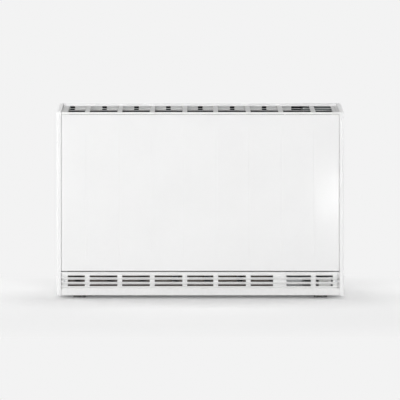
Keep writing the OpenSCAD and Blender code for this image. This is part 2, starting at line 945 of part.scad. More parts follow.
// Scroll of thin sheet, open at the front, with an end plate at each end
module fan_housing() {
  color("lightgray")
    difference() {
      union() {
        along_x(-house_x, house_x)
          difference() {
            scroll_view(scroll_r + house_t);
            scroll_view(scroll_r);
            translate([house_y0 - 1, scroll_z - scroll_r])
              square([10, 2 * scroll_r]);
            translate([house_y0 - 1, scroll_z - scroll_r - 2])
              square([scroll_y - house_y0 - 20, scroll_r]);
          }
        for (x = [-house_x - house_t, house_x])
          along_x(x, x + house_t) {
            scroll_view(scroll_r + house_t);
            translate([scroll_y - 24, tray_z])
              square([48, scroll_z - tray_z]);
          }
        span([-house_x - eps, house_y0, tongue_z],
             [house_x + eps, fan_y - fan_r - 4, tongue_z + house_t]);
      }
      rod_x(bearing_r, -house_x - 2, house_x + 2, fan_y, fan_z);
    }
}

// Side view of one blade, curved forward between the wheel's inner and outer radius
module blade_view() {
  steps = 4;
  inner = [for (i = [0 : steps]) blade_point(i / steps, 0)];
  outer = [for (i = [steps : -1 : 0]) blade_point(i / steps, blade_t)];
  polygon(concat(inner, outer));
}

function blade_point(t, off) =
  let (r = fan_r - 0.5 - blade_depth + t * blade_depth, a = 18 * t * t)
  [r * cos(a) - off * sin(a + 25), r * sin(a) + off * cos(a + 25)];

module fan_rotor() {
  disc_t = 2;
  discs = [-fan_x, -fan_len / 6 - disc_t / 2, fan_len / 6 - disc_t / 2, fan_x - disc_t];
  color("dimgray")
    translate([0, fan_y, fan_z])
      difference() {
        union() {
          for (x = discs)
            rod_x(fan_r, x, x + disc_t, 0, 0);
          for (x = [-fan_x, fan_x - 12])
            rod_x(shaft_r + 5, x, x + 12, 0, 0);
          for (i = [0 : blade_count - 1])
            along_x(-fan_x + 0.5, fan_x - 0.5)
              rotate(i * 360 / blade_count)
                blade_view();
        }
        rod_x(shaft_r, -fan_x - 1, fan_x + 1, 0, 0);
      }
}

module fan_shaft() {
  color("silver")
    rod_x(shaft_r, shaft_x0, shaft_x1, fan_y, fan_z);
}

module fan_armature() {
  color("gray")
    difference() {
      rod_x(armature_r, stack_x0, stack_x1, fan_y, fan_z);
      rod_x(shaft_r, stack_x0 - 1, stack_x1 + 1, fan_y, fan_z);
    }
}

// Flanged bush in the housing's left end
module fan_bearing() {
  color("black")
    difference() {
      union() {
        rod_x(bearing_r, -house_x - house_t, -house_x + 1, fan_y, fan_z);
        rod_x(bearing_flange_r, -house_x - house_t - 3, -house_x - house_t, fan_y, fan_z);
      }
      rod_x(shaft_r + running_gap, -house_x - 5, -house_x + 2, fan_y, fan_z);
    }
}

// Laminated stack with a bearing plate at each end, held to the housing by four studs
module fan_motor() {
  caps = [stack_x0 - 5, stack_x1 + 3.5];
  color("gray")
    translate([0, fan_y, fan_z])
      difference() {
        union() {
          difference() {
            span([stack_x0, -stack_half, stack_z0 - fan_z], [stack_x1, stack_half, stack_z1 - fan_z]);
            rod_x(armature_r + air_gap, stack_x0 - 1, stack_x1 + 1, 0, 0);
            for (s = [-1, 1])
              mirror([0, s < 0 ? 1 : 0, 0])
                span([stack_x0 - 1, limb_half, coil_z0 - 1 - fan_z],
                     [stack_x1 + 1, coil_half + 1, coil_z1 + 1 - fan_z]);
          }
          for (x = caps)
            span([x, -stack_half, coil_z1 + 3 - fan_z], [x + cap_t, stack_half, stack_z1 - fan_z]);
          for (s = [-1, 1], z = [coil_z1 + 7, stack_z1 - 5])
            rod_x(motor_stud_r, house_x + house_t, caps[1] + 3, s * (stack_half - 5), z - fan_z);
        }
        rod_x(shaft_r + running_gap, house_x, shaft_x1 + 1, 0, 0);
      }
}

// Winding round the stack's lower limb
module fan_motor_coil() {
  color("orangered")
    difference() {
      span([stack_x0 - coil_over, fan_y - coil_half, coil_z0],
           [stack_x1 + coil_over, fan_y + coil_half, coil_z1]);
      span([stack_x0, fan_y - limb_half, coil_z0 - 1], [stack_x1, fan_y + limb_half, coil_z1 + 1]);
    }
}

// Flap that hangs from two pins and swings forward under the bench
module damper_flap() {
  color("lightgray")
    union() {
      span([-fan_x, flap_y - flap_t / 2, flap_z - flap_w], [fan_x, flap_y + flap_t / 2, flap_z]);
      rod_x(flap_tube_r, -fan_x, fan_x, flap_y, flap_z);
      rod_x(flap_pin_r, -ear_x - ear_t - 4, pin_x, flap_y, flap_z);
    }
}

// Small geared motor on the right lug, with the flap's pin in its output socket
module damper_motor() {
  color("beige")
    difference() {
      union() {
        rod_x(flap_motor_r, ear_x + ear_t, flap_motor_x, flap_y, flap_z);
        span([ear_x + ear_t, flap_y - 9, flap_z - 18], [flap_motor_x - 9, flap_y + 9, flap_z]);
      }
      rod_x(flap_pin_r + running_gap, ear_x, pin_x + 1, flap_y, flap_z);
    }
}

// ---- Electrical side ----

// Upright sheet between the store and the electrical side, with a perforated front edge
module partition_panel() {
  x1 = partition_x + sheet_t;
  color("silver")
    difference() {
      union() {
        span([partition_x, support_y0, tray_z], [x1, support_y1, partition_top]);
        span([partition_x, support_y0, tray_z], [vent_plate_x, support_y0 + sheet_t, vent_plate_z]);
      }
      for (i = [0 : vent_count - 1])
        rod_y(vent_r, vent_x + i * vent_pitch, support_y0 - 1, support_y0 + 3, vent_z);
      for (n = [1 : row_count], s = [-1, 1])
        rod_x(bush_hole_r, partition_x - 1, x1 + 1, element_y + s * element_bend,
              element_z(n) - brick_gap / 2);
      rod_x(sensor_r, partition_x - 1, x1 + 1, element_y, sensor_z);
    }
}

function post_places() = [
  for (x = [-1, 1], z = [post_inset, board_h - post_inset])
    [side_mid_x + x * (board_w / 2 - post_inset), board_z0 + z]
];

// Plate on the rear panel with four pegs for the board
module board_carrier() {
  color("whitesmoke")
    union() {
      span([side_mid_x - board_w / 2 - 4, rear_in - carrier_t, board_z0 - 5],
           [side_mid_x + board_w / 2 + 4, rear_in, board_z0 + board_h + 5]);
      for (place = post_places()) {
        rod_y(post_r, place[0], board_y + board_t, rear_in - 1, place[1]);
        rod_y(post_pin_r, place[0], board_y - 2, rear_in - 1, place[1]);
      }
    }
}

module control_board() {
  color("darkgreen")
    difference() {
      span([side_mid_x - board_w / 2, board_y, board_z0],
           [side_mid_x + board_w / 2, board_y + board_t, board_z0 + board_h]);
      for (place = post_places())
        rod_y(post_pin_r, place[0], board_y - 1, board_y + board_t + 1, place[1]);
    }
}

module board_relays() {
  color("black")
    for (i = [-1 : 1])
      translate([side_mid_x + i * relay_pitch, board_y, board_z0 + 50])
        span([-relay_size[0] / 2, -relay_size[1], 0], [relay_size[0] / 2, 0, relay_size[2]]);
}

// Row of ways, each with a screw hole in front and a wire hole below
module terminal_block() {
  half = terminal_ways * terminal_pitch / 2;
  color("ivory")
    difference() {
      span([bush_mid_x - half, rear_in - terminal_d, terminal_z],
           [bush_mid_x + half, rear_in, terminal_z + terminal_h]);
      for (i = [0 : terminal_ways - 1])
        translate([bush_mid_x - half + (i + 0.5) * terminal_pitch, 0, 0]) {
          rod_y(2.4, 0, rear_in - terminal_d - 1, rear_in - 8, terminal_z + 17);
          rod_z(2, 0, rear_in - 11, terminal_z - 1, terminal_z + 17);
        }
    }
}

// Bar on two posts that grips the two supply cables
module cable_clamp() {
  clamp_y = rear_in - 17;
  color("whitesmoke")
    difference() {
      union() {
        span([bush_mid_x - clamp_half, clamp_y, clamp_z],
             [bush_mid_x + clamp_half, clamp_y + 8, clamp_z + clamp_h]);
        for (s = [-1, 1])
          rod_y(4, bush_mid_x + s * (clamp_half - 6), clamp_y + 1, rear_in, clamp_z + clamp_h / 2);
      }
      for (s = [-1, 1])
        rod_z(bush_bore_r, bush_mid_x + s * bush_pitch / 2, clamp_y + 8, clamp_z - 1,
              clamp_z + clamp_h + 1);
    }
}

// Soft rings that line the two cable holes in the rear panel
module cable_bushes() {
  color("black")
    for (s = [-1, 1])
      translate([bush_mid_x + s * bush_pitch / 2, 0, 0])
        difference() {
          union() {
            rod_y(bush_r, 0, rear_in - bush_flange_t, rear_y + bush_flange_t, bush_z);
            rod_y(bush_flange_r, 0, rear_in - bush_flange_t, rear_in, bush_z);
            rod_y(bush_flange_r, 0, rear_y, rear_y + bush_flange_t, bush_z);
          }
          rod_y(bush_bore_r, 0, rear_in - bush_flange_t - 1, rear_y + bush_flange_t + 1, bush_z);
        }
}

// Over-temperature cut-out on the partition, with a socket for its reset button
module thermal_cutout() {
  x0 = partition_x + sheet_t;
  color("whitesmoke")
    difference() {
      union() {
        span([x0, element_y - cutout_size[1] / 2, cutout_z],
             [x0 + cutout_size[0], element_y + cutout_size[1] / 2, cutout_z + cutout_size[2]]);
        span([x0, element_y - cutout_size[1] / 2 - 8, cutout_z + 10],
             [x0 + 2, element_y + cutout_size[1] / 2 + 8, cutout_z + cutout_size[2] - 10]);
      }
      rod_x(reset_hole, x0 + cutout_size[0] - reset_len, x0 + cutout_size[0] + 1, element_y,
            cutout_z + cutout_size[2] / 2);
    }
}

module cutout_reset_button() {
  x1 = partition_x + sheet_t + cutout_size[0];
  color("red")
    union() {
      rod_x(reset_r, x1 - reset_len + reset_travel + touch_free, x1 + reset_travel + 1, element_y,
            cutout_z + cutout_size[2] / 2);
      rod_x(reset_r + 1, x1 + reset_travel + touch_free, x1 + reset_travel + 1.6, element_y,
            cutout_z + cutout_size[2] / 2);
    }
}

// Light box behind the grille's right end that holds the room air sensor
module room_sensor() {
  y0 = support_y0;
  color("whitesmoke")
    difference() {
      span([room_sensor_x - room_sensor_w / 2, y0, tray_z],
           [room_sensor_x + room_sensor_w / 2, y0 + 22, vent_plate_z]);
      for (i = [-1 : 1])
        span([room_sensor_x - room_sensor_w / 2 + 8, y0 - 1, vent_z + 12 + i * 5],
             [room_sensor_x + room_sensor_w / 2 - 8, y0 + 8, vent_z + 14 + i * 5]);
    }
}

// ---- Control pod ----

// Shell with tapered ends above the flat top and a box below it, open underneath
module control_pod() {
  color("whitesmoke") {
    difference() {
      union() {
        along_y(pod_y0, pod_y1)
          polygon([
            [pod_x0, casing_top], [pod_x0 + pod_taper, pod_z],
            [pod_x1 - pod_taper, pod_z], [pod_x1, casing_top]
          ]);
        span([box_x0, box_y0, casing_top - pod_low], [box_x1, box_y1, casing_top + 1]);
      }
      span([box_x0 + pod_wall, box_y0 + pod_wall, casing_top - pod_low - 1],
           [box_x1 - pod_wall, box_y1 - pod_wall, pod_z - pod_wall]);
      span([window_x0, window_y0, pod_z - pod_wall - 1],
           [window_x0 + window_w, window_y0 + window_d, pod_z + 1]);
      for (x = button_x, y = button_y)
        translate([x, y, pod_z])
          span([-button_side / 2 - button_gap, -button_side / 2 - button_gap, -pod_wall - 1],
               [button_side / 2 + button_gap, button_side / 2 + button_gap, 1]);
    }
    for (place = pod_posts())
      rod_z(pod_post_r, place[0], place[1], pod_board_z + pod_board_t, pod_z - pod_wall + 0.5);
  }
}

function pod_posts() = [
  for (x = [box_x0 + pod_wall + 4, box_x1 - pod_wall - 4],
       y = [box_y0 + pod_wall + 4, box_y1 - pod_wall - 4])
    [x, y]
];

module display_window() {
  color("black")
    span([window_x0, window_y0, pod_z - pod_wall],
         [window_x0 + window_w, window_y0 + window_d, pod_z]);
}

module display_module() {
  color("darkslategray")
    span([window_x0 + 2, window_y0 + 2, pod_board_z + pod_board_t],
         [window_x0 + window_w - 2, window_y0 + window_d - 2, pod_z - pod_wall - 0.7]);
}

// Board under the pod's face with one push switch below each button
module pod_board() {
  color("darkgreen")
    union() {
      span([box_x0 + pod_wall + 0.5, box_y0 + pod_wall + 0.5, pod_board_z],
           [box_x1 - pod_wall - 0.5, box_y1 - pod_wall - 0.5, pod_board_z + pod_board_t]);
      for (x = button_x, y = button_y)
        rod_z(switch_r, x, y, pod_board_z, switch_z);
    }
}

// Square key with a rim that keeps it in the pod and a stem above its switch
module button(x, y) {
  half = button_side / 2;
  rim = half + button_gap + button_flange;
  color("lightgray")
    translate([x, y, 0])
      union() {
        span([-half, -half, button_flange_z - 0.5], [half, half, pod_z + button_rise]);
        span([-rim, -rim, button_flange_z - button_flange_t], [rim, rim, button_flange_z]);
        rod_z(2, 0, 0, button_flange_z - button_flange_t - button_stem, button_flange_z);
      }
}

module button_up() {
  button(button_x[0], button_y[1]);
}

module button_down() {
  button(button_x[0], button_y[0]);
}

module button_select() {
  button(button_x[1], button_y[0]);
}

module button_back() {
  button(button_x[1], button_y[1]);
}

// ---- Fasteners ----

// Screw along +X from its head's outer face at the origin, with a cross recess in the head
module screw(len) {
  difference() {
    union() {
      rod_x(screw_head_r, 0, screw_head_h, 0, 0);
      rod_x(screw_r, screw_head_h - 0.1, screw_head_h + len, 0, 0);
    }
    for (a = [0, 90])
      rotate([a, 0, 0])
        span([-1, -0.45, -screw_head_r * 0.6], [screw_head_h * 0.6, 0.45, screw_head_r * 0.6]);
  }
}

// Screws of the lower grille, the side panels and the wall brackets
module case_screws() {
  grille_len = frame_y + sheet_t - panel_y - screw_head_h;
  color("silver") {
    for (x = [-grille_screw_x, grille_screw_x])
      translate([x, panel_y, grille_screw_z])
        rotate([0, 0, 90])
          screw(grille_len);
    for (side = [0, 1], z = side_screw_z)
      mirror([side, 0, 0])
        translate([frame_x - sheet_t - screw_head_h, side_screw_y, z])
          screw(sheet_t + 8);
    for (s = [-1, 1], x = [-10, 10])
      translate([s * bracket_x + x, rear_y + bracket_t + screw_head_h, bracket_screw_z])
        rotate([0, 0, -90])
          screw(bracket_t + sheet_t + 4);
  }
}

left_side_panel();
right_side_panel();
front_panel();
top_panel();
top_grille();
lower_grille();
rear_panel();
base_tray();
left_end_plate();
right_end_plate();
left_foot();
right_foot();
wall_brackets();
core_support();
core_casing();
inner_front_cover();
base_insulation();
rear_insulation();
front_insulation();
left_insulation();
right_insulation();
top_insulation();
brick_row_1();
brick_row_2();
brick_row_3();
brick_row_4();
heating_element_1();
heating_element_2();
heating_element_3();
heating_element_4();
element_bushes();
core_sensor();
fan_housing();
fan_rotor();
fan_shaft();
fan_armature();
fan_bearing();
fan_motor();
fan_motor_coil();
damper_flap();
damper_motor();
partition_panel();
board_carrier();
control_board();
board_relays();
terminal_block();
cable_clamp();
cable_bushes();
thermal_cutout();
cutout_reset_button();
room_sensor();
control_pod();
display_window();
display_module();
pod_board();
button_up();
button_down();
button_select();
button_back();
case_screws();
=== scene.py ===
"""Looks of the wall-mounted storage heater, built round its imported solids."""

import json
import math

import bmesh
import bpy
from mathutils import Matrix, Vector

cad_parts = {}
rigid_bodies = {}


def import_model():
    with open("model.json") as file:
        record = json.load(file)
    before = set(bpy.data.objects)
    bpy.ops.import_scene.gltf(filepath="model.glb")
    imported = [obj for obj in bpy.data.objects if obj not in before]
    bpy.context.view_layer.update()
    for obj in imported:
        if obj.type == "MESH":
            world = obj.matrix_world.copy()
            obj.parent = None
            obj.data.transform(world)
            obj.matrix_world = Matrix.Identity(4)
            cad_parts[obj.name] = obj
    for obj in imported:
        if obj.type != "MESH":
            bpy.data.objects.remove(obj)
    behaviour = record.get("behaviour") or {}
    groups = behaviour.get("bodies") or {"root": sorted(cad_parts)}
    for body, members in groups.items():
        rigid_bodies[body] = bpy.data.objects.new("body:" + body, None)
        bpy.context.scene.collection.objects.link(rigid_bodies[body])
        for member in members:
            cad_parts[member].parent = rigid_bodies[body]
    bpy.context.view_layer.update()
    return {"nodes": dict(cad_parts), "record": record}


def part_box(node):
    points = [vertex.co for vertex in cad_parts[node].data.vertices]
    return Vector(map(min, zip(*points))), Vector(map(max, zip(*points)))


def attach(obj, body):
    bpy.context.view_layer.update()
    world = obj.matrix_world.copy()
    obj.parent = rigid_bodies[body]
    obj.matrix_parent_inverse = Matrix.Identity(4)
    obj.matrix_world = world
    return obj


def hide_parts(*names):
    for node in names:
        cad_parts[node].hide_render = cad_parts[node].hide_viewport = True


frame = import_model()
scene = bpy.context.scene

MM = 0.001


def reach(node):
    """Lowest and highest corner of a solid, in millimetres."""
    low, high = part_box(node)
    return low / MM, high / MM


# How far dressed pieces end beyond or short of their solids, as the photo shows them,
# in millimetres
PANEL_LIFT = 0.7
GRILLE_DROP = 0.9
LIP_DROP = 1.0
FIELD_RISE = 1.5

# Planes and sizes of the solids, in millimetres
FRONT_Y = reach("left_side_panel")[0].y
REAR_Y = reach("rear_panel")[1].y
PANEL_Y = reach("lower_grille")[0].y
PANEL_X = reach("top_panel")[1].x
OUT_X = reach("right_side_panel")[1].x
TOP_Y = reach("top_panel")[0].y
CASING_TOP = reach("top_panel")[1].z
GRILLE_Z = (reach("lower_grille")[0].z, reach("lower_grille")[1].z)
PANEL_Z = (reach("front_panel")[0].z + PANEL_LIFT, reach("front_panel")[1].z)
LIP_Z = reach("top_grille")[0].z
LIP_H = 6.5
SLOPE_Z = LIP_Z + LIP_H
FIELD_Z = reach("top_grille")[1].z + FIELD_RISE
SLOPE = math.atan2(CASING_TOP - SLOPE_Z, TOP_Y - PANEL_Y)
FIELD = math.atan2(FIELD_Z - SLOPE_Z, TOP_Y - PANEL_Y)
POD = reach("control_pod")

# The side panels start SIDE_GAP outside the ends of the panels' solids, and the dressed panels
# leave a SEAM to them
SIDE_GAP = 2.0
SEAM = 0.6
SIDE_X = PANEL_X + SIDE_GAP
SEAM_X = SIDE_X - SEAM
# How far they stand before the front panel and above the casing, and their corners' radius
SIDE_PROUD = 2
SIDE_RISE = 1
SIDE_CORNER = 9

# Slot columns of both grilles along x: one in the middle, wider ones beside it and a last one
# that is cut off at SLOTS_END and has LEAST_SLOT at least; the lower grille is blank in BLANK_X
SLOT_W = 103
MID_SLOT_W = 97
SLOT_RIB = 18
SLOT_PITCH = SLOT_W + SLOT_RIB
SLOTS_END = 493
LEAST_SLOT = 15
BLANK_X = (270.6, 320.6)


# ---- Materials ----

MATERIALS = {}


class Nodes:
    """Short hand for the node tree of a material or of the world."""

    def __init__(self, owner, coordinates="Object"):
        owner.use_nodes = True
        self.tree = owner.node_tree
        self.place = self.add("ShaderNodeTexCoord").outputs[coordinates]

    def feed(self, socket, value):
        """Gives an input a link or a value."""
        if isinstance(value, bpy.types.NodeSocket):
            self.tree.links.new(value, socket)
        else:
            socket.default_value = value

    def add(self, kind, inputs=None, **settings):
        """New node, with links or values for its inputs."""
        node = self.tree.nodes.new(kind)
        for key, value in settings.items():
            setattr(node, key, value)
        for key, value in (inputs or {}).items():
            self.feed(node.inputs[key], value)
        return node

    def stretched(self, scale):
        """Object coordinates scaled by one factor for each axis."""
        return self.add("ShaderNodeMapping", {"Vector": self.place, "Scale": scale}).outputs[0]

    def noise(self, scale, detail=3.0, rough=0.5, vector=None):
        return self.add("ShaderNodeTexNoise", {
            "Vector": vector or self.place, "Scale": scale, "Detail": detail, "Roughness": rough,
        }).outputs["Fac"]

    def cells(self, scale, vector=None, output="Distance"):
        return self.add("ShaderNodeTexVoronoi", {
            "Vector": vector or self.place, "Scale": scale}).outputs[output]

    def span(self, value, low, high, out_low=0.0, out_high=1.0):
        """Maps low to high onto out_low to out_high, with the ends held."""
        return self.add("ShaderNodeMapRange", {
            "Value": value, "From Min": low, "From Max": high,
            "To Min": out_low, "To Max": out_high}).outputs[0]

    def math(self, operation, a, b=0.0):
        return self.add("ShaderNodeMath", {0: a, 1: b}, operation=operation).outputs[0]

    def blend(self, factor, a, b):
        """Colour between a and b."""
        return self.add("ShaderNodeMix", {0: factor, 6: a, 7: b}, data_type="RGBA").outputs[2]

    def bump(self, height, depth_mm, under=None):
        """Normal of a relief, laid over the normal under."""
        inputs = {"Height": height, "Strength": 1.0, "Distance": depth_mm * MM}
        if under is not None:
            inputs["Normal"] = under
        return self.add("ShaderNodeBump", inputs).outputs[0]

    def seen(self):
        """1 for rays that make the picture, also by reflection or through glass; 0 for light."""
        path = self.add("ShaderNodeLightPath")
        seen = self.math("MAXIMUM", path.outputs["Is Camera Ray"], path.outputs["Is Glossy Ray"])
        return self.math("MAXIMUM", seen, path.outputs["Is Transmission Ray"])


class Surface(Nodes):
    """Nodes of a new material, which is kept in MATERIALS under its name."""

    def __init__(self, name):
        material = bpy.data.materials.new(name)
        super().__init__(material)
        self.shader = self.tree.nodes["Principled BSDF"]
        self.output = self.tree.nodes["Material Output"]
        MATERIALS[name] = material

    def finish(self, **sockets):
        """Sets the shader's sockets, each to a link or to a value."""
        for key, value in sockets.items():
            self.feed(self.shader.inputs[key.replace("_", " ")], value)


def rgb(r, g=None, b=None):
    """Colour with alpha; one number alone gives a grey."""
    return (r, r if g is None else g, r if b is None else b, 1.0)


def shade(colour, factor):
    """The same colour, lighter or darker."""
    return (colour[0] * factor, colour[1] * factor, colour[2] * factor, 1.0)


def edge_wear(n):
    """0 on flat faces, 1 on sharp outer edges."""
    return n.span(n.add("ShaderNodeNewGeometry").outputs["Pointiness"], 0.515, 0.56)


def painted(name, colour, rough, peel_mm, peel_scale, wave_mm=0.0, dust=0.02, vary=0.08):
    """Coated sheet: orange peel, slight waves of the sheet and a little dust."""
    n = Surface(name)
    cloud = n.noise(5.0, 4.0, 0.55)
    grime = n.noise(60.0, 5.0, 0.6)
    tone = n.blend(n.span(cloud, 0.35, 0.7), colour, shade(colour, 1.0 - dust))
    tone = n.blend(n.span(grime, 0.62, 0.8, 0.0, 0.5), tone, shade(colour, 1.0 - 2 * dust))
    roughness = n.span(n.noise(28.0, 4.0, 0.6), 0.3, 0.7, rough - vary * 0.4, rough + vary * 0.6)
    normal = n.bump(n.noise(peel_scale, 2.0, 0.45), peel_mm)
    if wave_mm:
        normal = n.bump(n.noise(3.2, 1.0, 0.4), wave_mm, normal)
    n.finish(Base_Color=tone, Roughness=roughness, Normal=normal, IOR=1.5)


def moulded(name, colour, rough, grain_mm=0.03, grain_scale=1600.0, wear=0.06):
    """Moulded plastic: fine spark-eroded grain, softly cloudy, paler on its edges."""
    n = Surface(name)
    cloud = n.noise(14.0, 4.0, 0.6)
    tone = n.blend(n.span(cloud, 0.35, 0.7), colour, shade(colour, 0.985))
    tone = n.blend(n.math("MULTIPLY", edge_wear(n), n.span(n.noise(90.0), 0.4, 0.6)),
                   tone, shade(colour, 1.0 + wear))
    roughness = n.span(n.noise(75.0, 4.0, 0.65), 0.3, 0.7, rough - 0.05, rough + 0.07)
    grain = n.bump(n.noise(grain_scale, 2.0, 0.6), grain_mm)
    normal = n.bump(n.noise(22.0, 1.0), 0.02, grain)
    n.finish(Base_Color=tone, Roughness=roughness, Normal=normal, IOR=1.46)


def zinc_sheet(name, colour, rough, spangle=160.0, stain=None, dark=0.88):
    """Galvanised sheet with spangle, dull patches and rolling marks."""
    n = Surface(name)
    wander = n.add("ShaderNodeTexNoise", {"Vector": n.place, "Scale": 45.0}).outputs["Color"]
    warped = n.add("ShaderNodeVectorMath", {0: wander, 1: (0.006, 0.006, 0.006), 2: n.place},
                   operation="MULTIPLY_ADD").outputs[0]
    grain = n.cells(spangle, warped, output="Color")
    flake = n.add("ShaderNodeSeparateColor", {0: grain}).outputs[0]
    tone = n.blend(n.span(flake, 0.0, 1.0), shade(colour, dark), shade(colour, 1.04))
    tone = n.blend(n.span(n.noise(6.0, 5.0, 0.6), 0.5, 0.75, 0.0, 0.6), tone,
                   stain or shade(colour, 0.85))
    roughness = n.span(flake, 0.0, 1.0, rough - 0.08, rough + 0.12)
    lines = n.noise(120.0, 3.0, 0.5, n.stretched((0.04, 1.0, 1.0)))
    normal = n.bump(lines, 0.02, n.bump(flake, 0.006))
    n.finish(Base_Color=tone, Roughness=roughness, Normal=normal, Metallic=1.0)


def plain_metal(name, colour, rough, brushed, tint=None):
    """Bare metal with fine brushing along one axis and duller patches."""
    n = Surface(name)
    streak = n.noise(60.0, 5.0, 0.65, n.stretched(brushed))
    tone = n.blend(n.span(streak, 0.3, 0.7), shade(colour, 0.86), shade(colour, 1.08))
    tone = n.blend(n.span(n.noise(18.0, 4.0), 0.5, 0.75, 0.0, 0.7), tone,
                   tint or shade(colour, 0.7))
    roughness = n.span(streak, 0.3, 0.7, rough - 0.06, rough + 0.1)
    n.finish(Base_Color=tone, Roughness=roughness, Normal=n.bump(streak, 0.03), Metallic=1.0)


def fibre_board(name, colour):
    """Pressed mineral fibre with a matted surface and darker clouds."""
    n = Surface(name)
    fibres = n.noise(140.0, 6.0, 0.7, n.stretched((0.25, 1.0, 1.0)))
    tone = n.blend(n.span(fibres, 0.3, 0.7), shade(colour, 0.8), shade(colour, 1.08))
    tone = n.blend(n.span(n.noise(9.0, 4.0), 0.55, 0.8, 0.0, 0.6), tone, shade(colour, 0.7))
    n.finish(Base_Color=tone, Roughness=0.95, Normal=n.bump(fibres, 0.6))


def brick(name, colour):
    """Dense fired brick with pale grit."""
    n = Surface(name)
    grit = n.cells(520.0)
    cloud = n.noise(30.0, 6.0, 0.65)
    tone = n.blend(n.span(cloud, 0.3, 0.7), shade(colour, 0.72), shade(colour, 1.35))
    tone = n.blend(n.span(grit, 0.0, 0.28, 0.55, 0.0), tone, (0.32, 0.25, 0.21, 1.0))
    normal = n.bump(grit, 0.25, n.bump(n.noise(210.0, 4.0), 0.5))
    n.finish(Base_Color=tone, Roughness=0.9, Normal=normal)


def circuit(name, colour):
    """Lacquered board with faint copper tracks and pads."""
    n = Surface(name)
    weave = n.cells(260.0, n.stretched((1.0, 1.0, 0.45)), output="Color")
    grey = n.add("ShaderNodeSeparateColor", {0: weave}).outputs[1]
    tone = n.blend(n.span(grey, 0.45, 0.5), colour, shade(colour, 1.9))
    pads = n.span(n.cells(140.0), 0.06, 0.1, 1.0, 0.0)
    tone = n.blend(pads, tone, (0.62, 0.6, 0.55, 1.0))
    n.finish(Base_Color=tone, Roughness=n.span(n.noise(90.0), 0.3, 0.7, 0.28, 0.42),
             Normal=n.bump(grey, 0.05))


def banded(name, colour, other, width_mm, axis, rough):
    """Thin bands side by side: laminations or turns of wire."""
    n = Surface(name)
    along = n.add("ShaderNodeSeparateXYZ", {0: n.place}).outputs[axis]
    wave = n.math("SINE", n.math("MULTIPLY", along, 2 * math.pi / (width_mm * MM)))
    tone = n.blend(n.span(wave, -0.6, 0.6), other, colour)
    tone = n.blend(n.span(n.noise(60.0, 4.0), 0.45, 0.75, 0.0, 0.5), tone, shade(other, 0.7))
    n.finish(Base_Color=tone, Metallic=1.0, Normal=n.bump(wave, 0.12),
             Roughness=n.span(n.noise(120.0), 0.3, 0.7, rough - 0.05, rough + 0.1))


def glass_black(name, colour):
    """Dark window with faint wiping marks."""
    n = Surface(name)
    smear = n.noise(35.0, 5.0, 0.6, n.stretched((1.0, 0.35, 1.0)))
    tone = n.blend(n.span(n.noise(25.0), 0.3, 0.7), colour, shade(colour, 1.5))
    n.finish(Base_Color=tone, Roughness=n.span(smear, 0.35, 0.75, 0.04, 0.16),
             Normal=n.bump(n.noise(12.0, 1.0), 0.05), IOR=1.5)


painted("panel_white", rgb(0.88), rough=0.14, peel_mm=0.005, peel_scale=420.0, wave_mm=0.3)
painted("top_white", rgb(0.84), rough=0.3, peel_mm=0.008, peel_scale=900.0, wave_mm=0.1)
painted("trim_white", rgb(0.88), rough=0.28, peel_mm=0.004, peel_scale=700.0, dust=0.005,
        vary=0.02)
moulded("grille_white", rgb(0.85, 0.85, 0.845), rough=0.48, grain_mm=0.012)
zinc_sheet("galvanised", rgb(0.56, 0.57, 0.58), rough=0.42)
# Heat-stained steel inside the casing; its dark tone also paints the shade seen through the
# grilles' slots
zinc_sheet("warm_steel", rgb(0.21, 0.195, 0.175), rough=0.5, spangle=90.0,
           stain=rgb(0.14, 0.11, 0.085), dark=0.82)
plain_metal("bracket_zinc", rgb(0.66, 0.67, 0.69), rough=0.36, brushed=(1, 14, 1))
moulded("foot_grey", rgb(0.1), rough=0.62, grain_mm=0.06, grain_scale=1100.0, wear=0.8)
fibre_board("insulation_board", rgb(0.74, 0.68, 0.56))
brick("store_brick", rgb(0.23, 0.15, 0.12))
plain_metal("element_sheath", rgb(0.25, 0.24, 0.23), rough=0.45, brushed=(6, 1, 1),
            tint=rgb(0.16, 0.13, 0.14))
moulded("white_ceramic", rgb(0.85, 0.84, 0.8), rough=0.35, grain_mm=0.02, grain_scale=700.0)
plain_metal("fan_aluminium", rgb(0.62, 0.62, 0.63), rough=0.38, brushed=(1, 8, 8))
banded("motor_steel", rgb(0.36, 0.36, 0.37), rgb(0.2, 0.19, 0.19), width_mm=0.9, axis=0,
       rough=0.42)
banded("coil_copper", rgb(0.62, 0.27, 0.1), rgb(0.25, 0.09, 0.03), width_mm=0.8, axis=1,
       rough=0.3)
moulded("soft_black", rgb(0.04), rough=0.7, grain_mm=0.05, grain_scale=900.0, wear=0.9)
moulded("cream_plastic", rgb(0.8, 0.76, 0.64), rough=0.42)
moulded("white_plastic", rgb(0.82, 0.82, 0.8), rough=0.45)
circuit("board_green", rgb(0.03, 0.16, 0.08))
moulded("relay_black", rgb(0.03), rough=0.4, grain_mm=0.02, grain_scale=900.0, wear=0.9)
moulded("reset_red", rgb(0.55, 0.03, 0.03), rough=0.3, grain_mm=0.01)
moulded("pod_grey", rgb(0.72), rough=0.42, grain_mm=0.012)
glass_black("window_glass", rgb(0.03, 0.03, 0.035))
moulded("display_grey", rgb(0.2, 0.22, 0.22), rough=0.5)
moulded("button_grey", rgb(0.55, 0.55, 0.56), rough=0.4, grain_mm=0.01)


# ---- Mesh helpers ----

